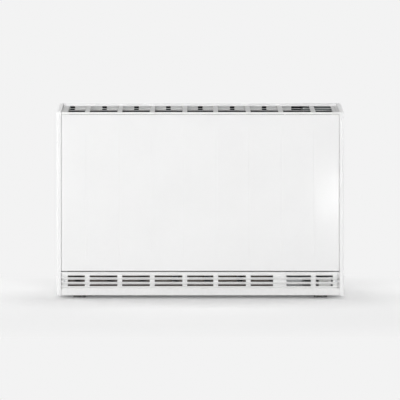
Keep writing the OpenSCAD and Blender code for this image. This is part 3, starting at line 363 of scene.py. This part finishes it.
def thick_grid(outer, inner, closed):
    """Sheet between two matching grids of points, with a wall round every open cell."""
    bm = bmesh.new()
    sides = (outer, inner)
    made = {}

    def vert(side, cell):
        if (side, cell) not in made:
            made[side, cell] = bm.verts.new(Vector(sides[side][cell[0]][cell[1]]) * MM)
        return made[side, cell]

    def filled(i, j):
        return 0 <= i < len(outer) - 1 and 0 <= j < len(outer[0]) - 1 and closed(i, j)

    for i in range(len(outer) - 1):
        for j in range(len(outer[0]) - 1):
            if not closed(i, j):
                continue
            ring = [(i, j), (i + 1, j), (i + 1, j + 1), (i, j + 1)]
            bm.faces.new([vert(0, c) for c in ring])
            bm.faces.new([vert(1, c) for c in reversed(ring)])
            for a, b, near in ((0, 1, (i, j - 1)), (1, 2, (i + 1, j)),
                               (2, 3, (i, j + 1)), (3, 0, (i - 1, j))):
                if not filled(*near):
                    bm.faces.new([vert(0, ring[b]), vert(0, ring[a]),
                                  vert(1, ring[a]), vert(1, ring[b])])
    return bm


def ring_at(bm, points, z):
    """New vertices at (x, y) points on one level."""
    return [bm.verts.new(Vector((x, y, z)) * MM) for x, y in points]


def join_rings(bm, rings):
    """Wall of faces between each ring of vertices and the next."""
    for a, b in zip(rings, rings[1:]):
        for k in range(len(a)):
            n = (k + 1) % len(a)
            bm.faces.new((a[k], a[n], b[n], b[k]))


def cap(bm, first, last):
    """Closes a wall of rings at its last ring and at its first."""
    bm.faces.new(last)
    bm.faces.new(list(reversed(first)))


def face_outwards(bm):
    """Turns every face's normal out of the body."""
    bmesh.ops.recalc_face_normals(bm, faces=bm.faces)


def add_plate(bm, low, high, holes, z0, z1):
    """Closed plate between the outline low at z0 and the outline high at z1, with holes."""
    bottom = [ring_at(bm, points, z0) for points in (low, *holes)]
    top = [ring_at(bm, points, z1) for points in (high, *holes)]
    for loops, normal in ((bottom, (0, 0, -1)), (top, (0, 0, 1))):
        edges = [bm.edges.new((v, verts[(k + 1) % len(verts)]))
                 for verts in loops for k, v in enumerate(verts)]
        bmesh.ops.triangle_fill(bm, use_beauty=True, use_dissolve=False, edges=edges,
                                normal=normal)
    for pair in zip(bottom, top):
        join_rings(bm, pair)


def piece(name, bm, body, slot, stands_for=(), bevel=0.3, angle=32):
    """Turns a finished bmesh into a piece that rides on body."""
    mesh = bpy.data.meshes.new(name)
    bm.to_mesh(mesh)
    bm.free()
    mesh.polygons.foreach_set("use_smooth", [True] * len(mesh.polygons))
    mesh.materials.append(MATERIALS[slot])
    obj = bpy.data.objects.new(name, mesh)
    scene.collection.objects.link(obj)
    if bevel:
        round_edges(obj, bevel, angle)
    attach(obj, body)
    if stands_for:
        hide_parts(*stands_for)
    return obj


def round_edges(obj, width, angle):
    """Rounds edges sharper than angle, and keeps the flats beside them evenly shaded."""
    edges = obj.modifiers.new("edges", "BEVEL")
    edges.width = width * MM
    edges.segments = 2
    edges.limit_method = "ANGLE"
    edges.angle_limit = math.radians(angle)
    edges.harden_normals = True
    flats = obj.modifiers.new("flats", "WEIGHTED_NORMAL")
    flats.keep_sharp = True


def arc(centre, radius, start, end, steps):
    """Points on an arc, angles in degrees."""
    points = []
    for k in range(steps + 1):
        a = math.radians(start + (end - start) * k / steps)
        points.append((centre[0] + radius * math.cos(a), centre[1] + radius * math.sin(a)))
    return points


def rounded(x0, x1, y0, y1, r, steps=5):
    """Corner points of a rectangle with rounded corners, anticlockwise."""
    points = []
    for x, y, start in ((x1 - r, y1 - r, 0), (x0 + r, y1 - r, 90),
                        (x0 + r, y0 + r, 180), (x1 - r, y0 + r, 270)):
        points += arc((x, y), r, start, start + 90, steps)
    return points


def within(value, span):
    """Whether value lies between the two ends of span."""
    return span[0] < value < span[1]


# ---- Grilles ----

def slot_columns():
    """(start, end) of every slot column along x, from left to right."""
    right = []
    x = MID_SLOT_W / 2 + SLOT_RIB
    while x < SLOTS_END - LEAST_SLOT:
        right.append((x, min(x + SLOT_W, SLOTS_END)))
        x += SLOT_PITCH
    return ([(-b, -a) for a, b in reversed(right)] + [(-MID_SLOT_W / 2, MID_SLOT_W / 2)]
            + right)


def edge_fold(z, up, depth, wall, corner, bend):
    """Section of an edge that is folded back from the front plane, as (outer, inner) points
    [y, z]: up is 1 at a lower edge and -1 at an upper one."""
    turn = (270, 180) if up > 0 else (180, 90)
    corners = zip(arc((PANEL_Y + corner, z + up * corner), corner, *turn, 3),
                  arc((PANEL_Y + wall + bend, z + up * (wall + bend)), bend, *turn, 3))
    flange = ((PANEL_Y + depth, z), (PANEL_Y + depth, z + up * wall))
    return [flange, *corners] if up > 0 else [*corners, flange]


def grille(node, xs, section, open_at, bevel, shift=lambda x, k, point: point):
    """Grille in place of one solid: section is a list of (outer, inner) points [y, z],
    open_at says which cells, as (x range, section index), are left out, and shift may move
    a section's point at one x."""
    def layer(side):
        return [[(x, *shift(x, k, pair[side])) for k, pair in enumerate(section)] for x in xs]

    bm = thick_grid(layer(0), layer(1), lambda i, j: not open_at((xs[i], xs[i + 1]), j))
    face_outwards(bm)
    piece(node + "_form", bm, "casing", "grille_white", (node,), bevel)


def lower_grille():
    """Three rows of slots between bars whose lower edges lean back; it is blank in front of
    the partition."""
    wall, corner, bend, depth = 2.0, 1.0, 0.3, 13
    row_count, first, pitch, slot_h = 3, 45.4, 16.9, 6.4
    # How far the bars' lower edges lie back, and that of the strip above the last row
    lean, last_lean = 9.5, 3.8
    # Groove below the first row, and the lip between them
    groove, groove_z, first_lip = 5.7, first - 7, 1.1
    # The ribs between the columns stay near the front plane
    rib_lean, rib_drop = 2.85, 0.8
    z0, z1 = GRILLE_Z[0], GRILLE_Z[1] - GRILLE_DROP
    section = edge_fold(z0, 1, depth, wall, corner, bend)

    def face(back, z):
        section.append(((PANEL_Y + back, z), (PANEL_Y + back + wall, z)))

    face(0, groove_z)
    face(groove, groove_z + 0.1)
    rows = []
    for n in range(row_count):
        z = first + n * pitch
        face(0, z if n else z + first_lip)
        rows += [len(section) - 1, len(section)]
        face(rib_lean, z + slot_h - rib_drop)
        face(lean if n < row_count - 1 else last_lean, z + slot_h)
    face(0, first + row_count * pitch - 0.5)
    section += edge_fold(z1, -1, depth, wall, corner, bend)

    columns = slot_columns()
    slit = (PANEL_X - 4, PANEL_X - 2.6)
    slit_cells = range(rows[0] - 2, rows[-1] + 2)
    marks = {-SEAM_X, *slit, SEAM_X, *BLANK_X, *(x for column in columns for x in column)}

    def open_at(x, k):
        middle = (x[0] + x[1]) / 2
        if within(middle, slit):
            return k in slit_cells
        if k not in rows or within(middle, BLANK_X):
            return False
        return any(within(middle, column) for column in columns)

    grille("lower_grille", sorted(marks), section, open_at, 0.35)


def top_grille():
    """Upright lip and a sloped field of louvres that ends at the top panel's fold."""
    wall, corner, bend, depth = 1.4, 1.0, 0.2, 9
    # How far the bars' upper edges lie below the slope, and how far their ends slant
    lean, slant = 3.0, 0.4
    # Radius of the bend between the lip and the slope
    brow, half_turn = 0.8, (math.pi / 2 - FIELD) / 2
    along = (math.cos(FIELD), math.sin(FIELD))
    down = (math.sin(FIELD), -math.cos(FIELD))
    length = (TOP_Y - PANEL_Y) / math.cos(FIELD)
    section = edge_fold(LIP_Z - LIP_DROP, 1, depth, wall, corner, bend)
    centre = (PANEL_Y + brow, SLOPE_Z - brow * math.tan(half_turn))
    inner_z = SLOPE_Z - wall * math.tan(half_turn) - 0.3
    for k, point in enumerate(arc(centre, brow, 180, 90 + math.degrees(FIELD), 3)):
        section.append((point, (PANEL_Y + wall, inner_z + 0.1 * k)))

    def face(s):
        o = (PANEL_Y + s * along[0], SLOPE_Z + s * along[1])
        section.append((o, (o[0] + wall * down[0], o[1] + wall * down[1])))

    # Along the slope: start of the first slot and of each bar, a bar's width, the last rim
    first, bars, bar, rim = 2.0, (20.5, 42.0), 7.0, 2.0
    rows = []
    for start, end in zip((first, *(s + bar for s in bars)), (*bars, length - rim)):
        face(start)
        rows.append(len(section) - 1)
        face(end)
    face(length - 0.2)

    columns = slot_columns()
    slit = (PANEL_X - 9.5, PANEL_X - 8.2)
    marks = {-SEAM_X, SEAM_X, *slit}
    for a, b in columns:
        marks.update((a - slant, a, b, b + slant))

    def louvre(x, k, point):
        """Inside a column the upper edge of each bar lies deeper than its lower edge."""
        if k not in rows[1:] or not any(a <= x <= b for a, b in columns):
            return point
        return (point[0] + lean * down[0], point[1] + lean * down[1])

    def open_at(x, k):
        middle = (x[0] + x[1]) / 2
        if within(middle, slit):
            return rows[0] <= k <= rows[-1]
        return k in rows and any(within(middle, column) for column in columns)

    grille("top_grille", sorted(marks), section, open_at, 0.25, louvre)


# ---- Front panel and top panel ----

def folded(low, high, depth, radius, wall, inside):
    """Points across a panel whose two edges are folded back: (along, back) for the outer and
    inner surface, then the index where the flat face starts and the one where it ends."""
    start = [((low, depth), (low + wall, depth))]
    start += zip(arc((low + radius, radius), radius, 180, 270, 4),
                 arc((low + radius, radius), radius - wall, 180, 270, 4))
    middle = [((x, 0.0), (x, wall)) for x in inside]
    end = list(zip(arc((high - radius, radius), radius, 270, 360, 4),
                   arc((high - radius, radius), radius - wall, 270, 360, 4)))
    end.append(((high, depth), (high - wall, depth)))
    return start + middle + end, len(start) - 1, len(start) + len(middle)


def front_panel():
    """Flat sheet with folded edges and eight faint upright ribs that run out at their ends."""
    wall, radius, depth = 1.2, 1.5, 14
    rib_count, rib_half, rib_h = 8, 4.2, 0.45
    # Flat margin above and below the ribs, the length in which they rise, points on the way
    margin, run_out, loops = 44, 16, 4
    ribs = [(i - (rib_count - 1) / 2) * SLOT_PITCH for i in range(rib_count)]
    ends = (PANEL_Z[0] + margin, PANEL_Z[1] - margin)
    inside_x = [rib + rib_half * k / loops for rib in ribs for k in range(-loops - 1, loops + 2)]
    inside_z = [ends[0] + run_out * k / loops for k in range(-1, loops + 1)]
    inside_z += [ends[1] - run_out * k / loops for k in range(loops, -2, -1)]
    across, x_first, x_last = folded(-SEAM_X, SEAM_X, depth, radius, wall, inside_x)
    up, z_first, z_last = folded(PANEL_Z[0], PANEL_Z[1], depth, radius, wall, inside_z)

    def swell(x, z):
        """Height of the ribs above the flat face."""
        side = min(abs(x - rib) for rib in ribs) / rib_half
        end = min(z - ends[0], ends[1] - z) / run_out
        if side >= 1 or end <= 0:
            return 0.0
        end = min(end, 1.0)
        return rib_h * (0.5 + 0.5 * math.cos(math.pi * side)) * end * end * (3 - 2 * end)

    def surface(which):
        grid = []
        for i, u in enumerate(across):
            line = []
            for j, v in enumerate(up):
                (x, back_x), (z, back_z) = u[which], v[which]
                if x_first <= i <= x_last and z_first <= j <= z_last:
                    line.append((x, PANEL_Y + (wall if which else 0) - swell(x, z), z))
                else:
                    line.append((x, PANEL_Y + max(back_x, back_z), z))
            grid.append(line)
        return grid

    def closed(i, j):
        return x_first <= i < x_last or z_first <= j < z_last

    bm = thick_grid(surface(0), surface(1), closed)
    face_outwards(bm)
    piece("front_panel_form", bm, "casing", "panel_white", ("front_panel",), 0.25)


def top_panel():
    """Flat top; its front fold carries a bead and is notched, and ends short of the pod."""
    wall, radius, depth = 1.2, 1.6, 13
    fold_end, notch_w, notch_count = 345.0, 17.5, 4
    # The folds at the two ends stop here
    end_fold_y = 73.0
    pod_lap = 2.7
    # The fold's lower edge and the bead's, its height and depth, and where it runs out
    fold_drop, bead_drop, bead_h, bead_depth, bead_top = 24.5, 20.8, 0.6, 11.0, 2.0
    shown = CASING_TOP - FIELD_Z
    notches = [(k * SLOT_PITCH - notch_w / 2, k * SLOT_PITCH + notch_w / 2)
               for k in range(-notch_count, notch_count + 1) if k * SLOT_PITCH < fold_end - notch_w]
    pod_x = (POD[0].x + pod_lap, POD[1].x - pod_lap)
    pod_y = (POD[0].y + pod_lap, POD[1].y - pod_lap)
    inside_x = sorted({fold_end, *pod_x, *(x for notch in notches for x in notch)})
    across, x_first, x_last = folded(-SEAM_X, SEAM_X, depth, radius, wall, inside_x)
    bead = ((fold_drop, 0.0), (bead_drop, 0.0), (bead_drop - bead_h, bead_depth),
            (shown + bead_top, 0.0))
    fold = [((drop, back), (drop, back + wall)) for drop, back in bead]
    for p, q in zip(arc((radius, radius), radius, 180, 90, 4),
                    arc((radius, radius), radius - wall, 180, 90, 4)):
        fold.append(((radius - (p[1] - radius), p[0]), (radius - (q[1] - radius), q[0])))
    flat = [((0.0, y - TOP_Y), (wall, y - TOP_Y)) for y in (*pod_y, end_fold_y, REAR_Y)]
    up = fold + flat
    y_first = len(fold) - 1

    def surface(which):
        grid = []
        for u in across:
            line = []
            for v in up:
                (x, drop_x), (drop_y, y) = u[which], v[which]
                line.append((x, TOP_Y + y, CASING_TOP - max(drop_x, drop_y)))
            grid.append(line)
        return grid

    def closed(i, j):
        x = (across[i][0][0] + across[i + 1][0][0]) / 2
        if j < y_first:
            gap = x > fold_end or any(within(x, notch) for notch in notches)
            return 0 < i < len(across) - 2 and not (gap and j < len(bead) - 1)
        y = TOP_Y + (up[j][0][1] + up[j + 1][0][1]) / 2
        if y > end_fold_y and not x_first <= i < x_last:
            return False
        return not (within(x, pod_x) and within(y, pod_y))

    bm = thick_grid(surface(0), surface(1), closed)
    face_outwards(bm)
    piece("top_panel_form", bm, "casing", "top_white", ("top_panel",), 0.25)


# ---- Side panels ----

def side_outline(r):
    """Side view of the side panel with corner radius r about the fixed centres."""
    y0, y1 = FRONT_Y + SIDE_CORNER, REAR_Y - SIDE_CORNER
    top = CASING_TOP + SIDE_RISE - SIDE_CORNER
    bend_z = SLOPE_Z + (SIDE_PROUD - SIDE_CORNER) * math.tan((math.pi / 2 - SLOPE) / 2)
    bend_y = y0 + (top - bend_z) / math.tan(SLOPE)
    turn = 90 + round(math.degrees(SLOPE))
    points = [(y0 - r, GRILLE_Z[0])]
    points += arc((y0, bend_z), r, 180, turn, 6)
    points += arc((bend_y, top), r, turn, 90, 4)
    points += arc((y1, top), r, 90, 0, 8)
    points.append((y1 + r, GRILLE_Z[0]))
    return points


def side_panel(side, name):
    """Moulded shell, open inwards, with a round outer edge; side is -1 at the left."""
    wall, least, steps = 2.5, 0.02, 8
    loops = [(SIDE_X, SIDE_CORNER)]
    for x, r in arc((OUT_X - SIDE_CORNER, 0), SIDE_CORNER, 90, 0, steps):
        loops.append((x, max(r, least)))
    bm = bmesh.new()
    rings = [[bm.verts.new(Vector((side * x, y, z)) * MM) for y, z in side_outline(r)]
             for x, r in loops]
    join_rings(bm, rings)
    bm.faces.new(rings[-1])
    bmesh.ops.remove_doubles(bm, verts=bm.verts, dist=0.00005)
    face_outwards(bm)
    # The largest face is the flat outer one; the wall is made on its inner side
    flat = max(bm.faces, key=lambda f: f.calc_area())
    if flat.normal.x * side < 0:
        bmesh.ops.reverse_faces(bm, faces=bm.faces)
    obj = piece(name + "_panel_form", bm, "casing", "trim_white", (name + "_panel",), 0.0)
    shell = obj.modifiers.new("wall", "SOLIDIFY")
    shell.thickness = wall * MM
    shell.offset = -1
    shell.use_even_offset = True
    round_edges(obj, 0.4, 50)


def side_web(side, name):
    """Inner web of a side panel, where its slope rises above the top grille."""
    wall, lap, back = 2.4, 6, 1
    height = CASING_TOP - FIELD_Z + lap
    y = (PANEL_Y + back, TOP_Y + back)
    z = (SLOPE_Z, CASING_TOP)
    corners = [(y[0], z[0] - height), (y[1], z[1] - height), (y[1], z[1]), (y[0], z[0])]
    bm = bmesh.new()
    inner, outer = [[bm.verts.new(Vector((side * x, *corner)) * MM) for corner in corners]
                    for x in (SIDE_X, SIDE_X + wall)]
    join_rings(bm, (inner, outer))
    cap(bm, outer, inner)
    face_outwards(bm)
    piece(name + "_web", bm, "casing", "trim_white", (), 0.2)


# ---- Control pod, and a dark sheet that paints shade ----

def button_middles():
    """Each button's name, the middle of its top and the top's level."""
    for name in KEYS:
        low, high = reach(name)
        yield name, (low.x + high.x) / 2, (low.y + high.y) / 2, high.z


def control_pod():
    """Chamfered cover with holes for the window and the buttons, on a skirt whose dark grey paints
    shade.
    """
    low, high = POD
    window = reach("display_window")
    gap, key_half = 0.2, 7.4
    holes = [rounded(window[0].x - gap, window[1].x + gap, window[0].y - gap,
                     window[1].y + gap, 1.5)]
    holes += [rounded(x - key_half, x + key_half, y - key_half, y + key_half, 2.2)
              for _, x, y, _ in button_middles()]
    bevel_x, bevel_y, above = 2.6, 1.4, 0.05
    bm = bmesh.new()
    add_plate(bm, rounded(low.x, high.x, low.y, high.y, 5),
              rounded(low.x + bevel_x, high.x - bevel_x, low.y + bevel_y, high.y - bevel_y, 3.6),
              holes, CASING_TOP + above, high.z)
    face_outwards(bm)
    piece("control_pod_form", bm, "casing", "pod_grey", ("control_pod",), 0.35, 28)


def pod_skirt_shade():
    """Wall of the pod below the casing's top, in a dark grey that paints the shade it lies in."""
    low, high = POD
    inset, wall, above = 3, 2, 0.02
    outer, inner = [rounded(low.x + d, high.x - d, low.y + d, high.y - d, r)
                    for d, r in ((inset, 3), (inset + wall, 1))]
    bm = bmesh.new()
    add_plate(bm, outer, outer, [inner], low.z, CASING_TOP + above)
    face_outwards(bm)
    # The wall is of the pod's own plastic; its dark grey is painted shade
    piece("pod_skirt_shade", bm, "casing", "display_grey", (), 0.2)


def rear_shade_sheet():
    """Dark sheet inside the rear panel, behind the top grille; it paints the shade seen through the
    slots.
    """
    low, high = reach("rear_panel")
    margin, sheet_t, gap, foot, below = 3, 1.9, 0.1, 655, 4
    front, back = low.y - gap - sheet_t, low.y - gap
    outline = rounded(-PANEL_X + margin, PANEL_X - margin, front, back, 0.5, 2)
    bm = bmesh.new()
    add_plate(bm, outline, outline, [], foot, high.z - below)
    face_outwards(bm)
    # A dark sheet that paints the shade inside the casing; it is no part of the heater
    piece("rear_shade_sheet", bm, "casing", "soft_black", (), 0.3)


def display_window():
    """Dark window with a sloped edge."""
    low, high = reach("display_window")
    edge, sunk = 0.4, 0.25
    bm = bmesh.new()
    add_plate(bm, rounded(low.x, high.x, low.y, high.y, 1.4),
              rounded(low.x + edge, high.x - edge, low.y + edge, high.y - edge, 1.2),
              [], low.z, high.z - sunk)
    face_outwards(bm)
    piece("display_window_form", bm, "casing", "window_glass", ("display_window",), 0.15)


# Body that each button rides on
KEYS = {"button_up": "up_key", "button_down": "down_key", "button_select": "select_key",
        "button_back": "back_key"}


def button(name, x, y, top):
    """Square key with round corners and a shallow dish in its top, on a flange and a stem."""
    low = reach(name)[0]
    half, flange_half, stem_half = 7.0, 8.3, 2
    flange, flange_top = 1.5, top - 2.8
    # (half width, corner radius, level) of each ring, from the flange to the dish's middle
    profile = [(flange_half, 1.2, flange_top - flange), (flange_half, 1.2, flange_top),
               (half, 2.0, flange_top), (half, 2.0, top - 0.7), (6.8, 1.9, top - 0.25),
               (6.35, 1.7, top), (5.6, 1.5, top - 0.06), (4.2, 1.6, top - 0.24),
               (2.4, 1.2, top - 0.36)]
    bm = bmesh.new()
    rings = [ring_at(bm, rounded(x - w, x + w, y - w, y + w, r), z) for w, r, z in profile]
    join_rings(bm, rings)
    cap(bm, rings[0], rings[-1])
    corners = [(x + stem_half * c, y + stem_half * d)
               for c, d in ((-1, -1), (1, -1), (1, 1), (-1, 1))]
    stem = [ring_at(bm, corners, z) for z in (flange_top - flange, low.z)]
    join_rings(bm, stem)
    cap(bm, stem[0], stem[1])
    face_outwards(bm)
    piece(name + "_form", bm, KEYS[name], "button_grey", (name,), 0.12, 50)


def mark(name, x, y, top):
    """Raised sign in the dish: arrows up, down and left, and a dot."""
    dot, arrow = 1.7, 2.3
    turn = {"button_up": 90, "button_down": 270, "button_back": 180}.get(name)
    if turn is None:
        points = arc((x, y), dot, 0, 345, 23)
    else:
        points = arc((x, y), arrow, turn, turn + 240, 2)
    bm = bmesh.new()
    add_plate(bm, points, points, [], top - 0.45, top - 0.18)
    face_outwards(bm)
    piece(name + "_mark", bm, KEYS[name], "relay_black", (), 0.0)


lower_grille()
top_grille()
front_panel()
top_panel()
for side, side_name in ((-1, "left_side"), (1, "right_side")):
    side_panel(side, side_name)
    side_web(side, side_name)
control_pod()
pod_skirt_shade()
rear_shade_sheet()
display_window()
for key in button_middles():
    button(*key)
    mark(*key)

# CAD nodes that stay: their material, and softened edges where they show
SOFTENED = {"left_foot": 0.8, "right_foot": 0.8, "wall_brackets": 0.35,
            "base_tray": 0.3, "core_support": 0.3, "room_sensor": 0.4, "case_screws": 0.15,
            "cable_bushes": 0.3, "fan_housing": 0.2}
record = frame["record"]
SLOT_OF = {s["node"]: s["material_slot"] for s in record["subparts"]}
for name, node in frame["nodes"].items():
    node.data.materials.clear()
    node.data.materials.append(MATERIALS[SLOT_OF[name]])
    if name in SOFTENED:
        weld = node.modifiers.new("weld", "WELD")
        weld.merge_threshold = 0.00002
        round_edges(node, SOFTENED[name], 40)


# ---- Surroundings ----

# Brightness of the background, as the camera and reflections see it
BACK = 0.896
# Strength of the soft light from all round, and of what is added from the front and the rear
SKY = 0.12
FRONT = 3.6
REAR = 1.2
# Power of the lamps, in watts
KEY = 11
FLOOR = 64
ENDS = 5
TOE = 90
FOLD = 4.5
TOP = 24
SIDES = 16
SPOT = 1.5


def floor_material():
    """Matt floor that takes light and shadow round the heater and fades further out to the
    background's level, as the camera and reflections see it."""
    n = Surface("floor_pale")
    colour = rgb(0.9)
    tone = n.blend(n.span(n.noise(2.0, 2.0), 0.3, 0.7), colour, shade(colour, 0.998))
    n.finish(Base_Color=tone, Roughness=1.0, Specular_IOR_Level=0.0)
    middle_y = -0.15
    fade_x, fade_y = (0.62, 0.95), (0.25, 0.6)
    place = n.add("ShaderNodeSeparateXYZ", {0: n.place})
    far_x = n.span(n.math("ABSOLUTE", place.outputs[0]), *fade_x)
    far_y = n.span(n.math("ABSOLUTE", n.math("ADD", place.outputs[1], -middle_y)), *fade_y)
    far = n.math("MULTIPLY", n.math("MAXIMUM", far_x, far_y), n.seen())
    glow = n.add("ShaderNodeEmission", {"Color": rgb(BACK), "Strength": 1.0})
    mix = n.add("ShaderNodeMixShader", {0: far, 1: n.shader.outputs[0], 2: glow.outputs[0]})
    n.feed(n.output.inputs["Surface"], mix.outputs[0])


def floor():
    """Wide level floor under the feet."""
    half, steps = 12, 12
    lines = [half * (2 * k / steps - 1) for k in range(steps + 1)]
    bm = bmesh.new()
    grid = [[bm.verts.new((x, y, 0)) for y in lines] for x in lines]
    for i in range(steps):
        for j in range(steps):
            bm.faces.new((grid[i][j], grid[i + 1][j], grid[i + 1][j + 1], grid[i][j + 1]))
    mesh = bpy.data.meshes.new("floor")
    bm.to_mesh(mesh)
    bm.free()
    obj = bpy.data.objects.new("floor", mesh)
    scene.collection.objects.link(obj)
    obj.data.materials.append(MATERIALS["floor_pale"])
    return obj


def world():
    """Soft light that comes mostly from the front; the camera and reflections see BACK."""
    scene.world = bpy.data.worlds.new("studio")
    n = Nodes(scene.world, "Generated")

    def lobe(direction, strength):
        """Light that falls off away from one direction."""
        facing = n.add("ShaderNodeVectorMath", {0: n.place, 1: Vector(direction).normalized()},
                       operation="DOT_PRODUCT").outputs["Value"]
        return n.math("MULTIPLY", n.math("POWER", n.math("MAXIMUM", facing), 4.0), strength)

    level = n.math("ADD", lobe((-0.1, -1.0, -0.03), FRONT), lobe((0.1, 1.0, 0.15), REAR))
    grey = rgb(0.8)
    light = n.add("ShaderNodeBackground", {"Color": grey, "Strength": n.math("ADD", level, SKY)})
    back = n.add("ShaderNodeBackground", {"Color": rgb(BACK)})
    mix = n.add("ShaderNodeMixShader", {0: n.seen(), 1: light.outputs[0], 2: back.outputs[0]})
    n.feed(n.tree.nodes["World Output"].inputs["Surface"], mix.outputs[0])


def aim(obj, place, target):
    """Puts a lamp at place and points it at target."""
    obj.location = place
    obj.rotation_mode = "QUATERNION"
    obj.rotation_quaternion = (Vector(target) - Vector(place)).to_track_quat("-Z", "Y")


def lamp(name, place, target, size, power, only=(), shine=False):
    """Area lamp that the camera doesn't see. only: the objects that it lights, or else all;
    shine: it shows only as a reflection."""
    data = bpy.data.lights.new(name, "AREA")
    data.shape = "RECTANGLE"
    data.size, data.size_y = size
    data.energy = power
    obj = bpy.data.objects.new(name, data)
    aim(obj, place, target)
    scene.collection.objects.link(obj)
    obj.visible_camera = False
    obj.visible_diffuse = not shine
    if only:
        group = bpy.data.collections.new(name + "_only")
        for thing in only:
            group.objects.link(thing)
        obj.light_linking.receiver_collection = group


def pieces(*starts):
    """Objects whose names start with one of the words."""
    return [obj for obj in scene.objects if obj.name.startswith(starts)]


world()
floor_material()
ground = floor()

# Key lamp on everything, from the front and the left
lamp("key", (-2.3, -2.1, 1.2), (0.0, 0.0, 0.4), (1.4, 1.4), KEY)

# The floor: from above, at the heater's two ends, and low from the front up to its toe
lamp("floor_light", (0.0, 0.35, 4.0), (0.0, 0.35, 0.0), (4.0, 1.1), FLOOR, [ground])
for side in (-1, 1):
    lamp("end_light", (side * 1.6, 0.2, 0.3), (side * 0.5, -0.05, 0.0), (0.3, 0.3), ENDS,
         [ground])
lamp("toe_light", (0.0, -3.0, 0.25), (0.0, -0.09, 0.0), (3.0, 0.1), TOE, [ground])

# The top panel's fold from below, the flat top from above, and the two side panels
lamp("upper_light", (-1.2, -1.2, 0.5), (-0.3, 0.0, 0.71), (0.5, 0.05), FOLD,
     pieces("top_panel"))
lamp("top_light", (0.0, 0.4, 4.0), (0.0, 0.0, 0.73), (4.0, 1.1), TOP,
     pieces("top_panel", "control_pod", "display_window", "button", "left_side", "right_side"))
for side, name in ((-1, "left_side"), (1, "right_side")):
    lamp(name + "_light", (side * 3.0, 0.1, 1.0), (side * 0.5, 0.0, 0.36), (0.9, 0.9), SIDES,
         pieces(name))

# The bright patch that the glossy front panel reflects at its right edge
lamp("panel_shine", (0.98, -3.39, 0.106), (0.45, 0.0, 0.38), (0.15, 0.42), SPOT, shine=True)

# The camera is level, so uprights stay parallel; the lens shift brings the heater into view
camera_data = bpy.data.cameras.new("camera")
camera_data.sensor_width = 36
camera_data.lens = 79.9
camera_data.shift_y = -0.1529
camera_data.clip_end = 100
camera = bpy.data.objects.new("camera", camera_data)
camera.location = (-0.001, -3.39, 0.594)
camera.rotation_euler = (math.pi / 2, 0, 0)
scene.collection.objects.link(camera)
scene.camera = camera
scene.view_settings.view_transform = "Standard"
